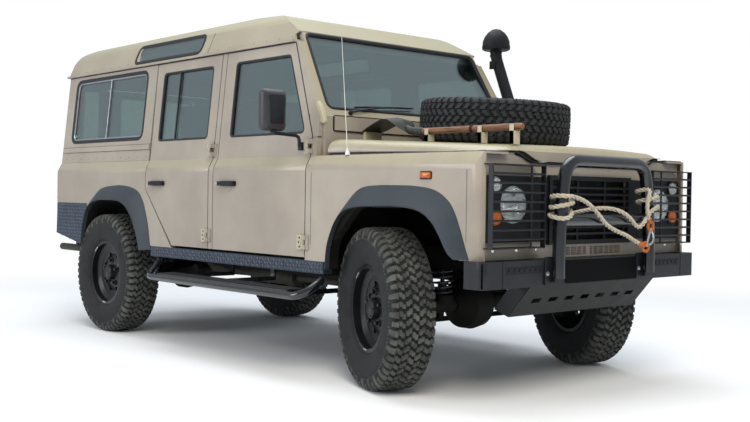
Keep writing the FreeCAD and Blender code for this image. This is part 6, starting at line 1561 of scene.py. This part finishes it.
def body_rubbers():
    """The drip line, the lines under the rear windows, and the seal that the bonnet closes on."""
    lines = Shape()
    nose = ((575, 1172), (545, 1166), (500, 1146), (450, 1129), (400, 1124), (200, 1124), (0, 1124))
    for side in (-1, 1):
        lines.tube([(side * 0.7352, at(y), 1.7975) for y in (806, 1700, 2600, 3560)], 0.003, 6)
        for z in (1276.5, 1239.5):
            x = side * (half_at(z * MM) + 0.0008)
            lines.tube([(x, at(y), z * MM) for y in (2268, 2900, 3560)], 0.0013, 5)
        edge = [(side * (bonnet_section(y)[0] - 9) * MM, at(y), 1.1722)
                for y in (440, 200, -100, -400, -620)]
        lines.tube(edge + [(side * x * MM, -2.0995, z * MM) for x, z in nose], 0.0055, 8)
    rubber_piece(lines, "body_rubbers")


def radiator_core():
    """Fins in front of a dark block, seen through the grille."""
    core = Shape()
    for step in range(66):
        z = 0.742 + step * 0.005
        core.box(span(0.0, 0.355), (-2.056, -2.05), (z, z + 0.0022))
    core.box(span(0.0, 0.36), (-2.05, -2.046), (0.735, 1.075))
    core.finish("radiator_core", MATT_BLACK, "car", "black_steel")


def step_boards():
    """Ribbed tread boards on the side steps."""
    boards = Shape()
    for side in (-1, 1):
        boards.box(span(side * 0.906, 0.054), (at(534), at(1846)), (0.4645, 0.4675))
        for step in range(9):
            boards.box(span(side * (0.86 + step * 0.0115), 0.0026), (at(540), at(1840)), (0.467, 0.4695))
        for y in (536, 1200, 1838):
            for x in (0.87, 0.945):
                boards.lathe([(0.0, 0.006), (0.003, 0.005), (0.0036, 0.0)], 10,
                             place_at((side * x, at(y), 0.4675), (0, 0, 1)))
    boards.finish("step_boards", MATT_BLACK, "car", "black_steel", bevel=0.0006)


def seams():
    """Fine dark joint lines of the wings and the roof."""
    lines = Shape()
    for side in (-1, 1):
        for distance, heights in ((518, (700, 800, 900, 1000, 1080)), (-596, (760, 850, 950, 1040, 1085))):
            lines.tube([on_side("front_wings", side, distance, z, 0.0002) for z in heights], 0.0011, 5)
        lines.tube([roof_lay(side)(Vector((1700, z)), 0.4) for z in (1812, 1850, 1900, 1950)], 0.0013, 5)
    rubber_piece(lines, "panel_seams")


def springs():
    """Coil springs, dampers, locating arms and their bushes."""
    coils = Shape()
    arms = Shape()
    low = 0.452
    high = 0.585
    steps = 80
    for y, reach in ((AXLE_Y, 0.45), (AXLE_Y + WHEELBASE, -0.45)):
        for side in (-1, 1):
            x = side * 0.37
            line = []
            for step in range(steps + 1):
                turn = 2 * math.pi * step / 16
                z = low + (high - low) * step / steps
                line.append((x + 0.049 * math.cos(turn), y + 0.049 * math.sin(turn), z))
            coils.tube(line, 0.0062, 8)
            coils.lathe([(0.0, 0.024), (0.07, 0.024), (0.072, 0.012), (0.13, 0.012)], 20,
                        place_at((x, y, low), (0, 0, 1)))
            rings = []
            for share in (0.0, 0.3, 0.7, 1.0):
                left, right = span(x, 0.018)
                under, over = span(0.36 + 0.075 * share, 0.03)
                corners = ((left, under), (right, under), (right, over), (left, over))
                rings.append([(a, y + reach * share, b) for a, b in corners])
            arms.rings(rings)
            arms.lathe([(-0.026, 0.032), (0.026, 0.032)], 24, place_at((x, y + reach, 0.443), (1, 0, 0)))
    coil = coils.finish("coil_springs", SPRING_BLUE, "car", "black_steel", sharp=60)
    arms.finish("locating_arms", UNDERSIDE, "car", "black_steel", bevel=0.003)
    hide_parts("suspension")


# Cushions: how far the cloth may move, how far a pad may pass its block, and its stitched seams, in metres
CLOTH_REACH = 0.012
CLOTH_MOMENTS = 20
PAD_SWELL = 0.0065
SEAM_DEEP = 0.006
SEAM_WIDE = 0.009


def blow_up(item):
    """Press a closed mesh out as cloth, but never further than its reach."""
    before = [v.co.copy() for v in item.data.vertices]
    cloth = item.modifiers.new("Cloth", "CLOTH")
    cloth.settings.use_pressure = True
    cloth.settings.uniform_pressure_force = 4.0
    cloth.settings.effector_weights.gravity = 0.0
    cloth.settings.tension_stiffness = 40.0
    for moment in range(1, CLOTH_MOMENTS + 1):
        bpy.context.scene.frame_set(moment)
    apply_modifiers(item)
    for vertex, old in zip(item.data.vertices, before):
        step = vertex.co - old
        if step.length > CLOTH_REACH:
            vertex.co = old + step.normalized() * CLOTH_REACH
    bpy.context.scene.frame_set(1)


def cushion(name, low, high):
    """A stitched seat pad blown up as cloth from a slightly smaller block."""
    inset = Vector((0.007, 0.007, 0.006))
    low = Vector(low) + inset
    high = Vector(high) - inset
    work = bmesh.new()
    bmesh.ops.create_cube(work, size=1.0)
    size = high - low
    for vertex in work.verts:
        vertex.co = Vector([low[i] + (vertex.co[i] + 0.5) * size[i] for i in range(3)])
    bmesh.ops.bevel(work, geom=list(work.edges), offset=0.022, segments=3, profile=0.6, affect="EDGES")
    mesh = bpy.data.meshes.new(name)
    work.to_mesh(mesh)
    work.free()
    item = bpy.data.objects.new(name, mesh)
    bpy.context.scene.collection.objects.link(item)
    remesh = item.modifiers.new("Remesh", "REMESH")
    remesh.mode = "VOXEL"
    remesh.voxel_size = 0.012
    apply_modifiers(item)
    blow_up(item)
    middle = (low + high) / 2
    thin = min(range(3), key=lambda axis: size[axis])
    across = 1 if thin == 0 else 0
    for vertex in item.data.vertices:
        for axis in range(3):
            vertex.co[axis] = min(max(vertex.co[axis], low[axis] - PAD_SWELL), high[axis] + PAD_SWELL)
        seam = (vertex.co[across] - middle[across]) / (size[across] / 2)
        for line in (-0.55, 0.55):
            away = abs(seam - line) * size[across] / 2
            sunk = SEAM_DEEP * math.exp(-(away / SEAM_WIDE) ** 2)
            vertex.co[thin] -= math.copysign(sunk, vertex.co[thin] - middle[thin])
    subdivide(item)
    for face in item.data.polygons:
        face.use_smooth = True
    item.data.materials.append(CLOTH)
    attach(item, "car")
    return item


def apply_modifiers(item):
    """Bake an object's modifiers into its mesh."""
    graph = bpy.context.evaluated_depsgraph_get()
    mesh = bpy.data.meshes.new_from_object(item.evaluated_get(graph))
    item.modifiers.clear()
    item.data = mesh


def seats():
    """Two front seats and a bench as padded cushions on their boxes."""
    boxes = Shape()
    for index, (x, distance, half, foot) in enumerate((
            (-0.4, 1010, 0.215, 0.841), (0.4, 1010, 0.215, 0.841), (-0.4145, 1755, 0.207, 0.79),
            (0.0, 1755, 0.207, 0.79), (0.4145, 1755, 0.207, 0.79))):
        near = at(distance)
        far = near + 0.48
        left, right = span(x, half)
        cushion("seat_cushion_%d" % index, (left, near, 0.87), (right, far, 0.99))
        cushion("seat_back_%d" % index, (left, far - 0.12, 0.99), (right, far, 1.55))
        boxes.box((left + 0.04, right - 0.04), (near + 0.06, far - 0.06), (foot - 0.005, 0.875))
    boxes.finish("seat_boxes", BLACK_PLASTIC, "car", "black_plastic", bevel=0.004)
    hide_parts("seats")


stage()
dress_cad()
tow_rope()
wheels()
bonnet()
bonnet_fittings()
spade()
seals()
handles()
hinge_bolts()
rivets()
lozenges()
lamps()
bumper_trim()
vent_mesh()
mirrors()
wipers()
aerial()
screen_brackets()
bull_bar()
steering_guard()
flares()
arch_shade_liners()
scuttle_trim()
intake()
door_edges()
body_rubbers()
radiator_core()
step_boards()
seams()
springs()
seats()
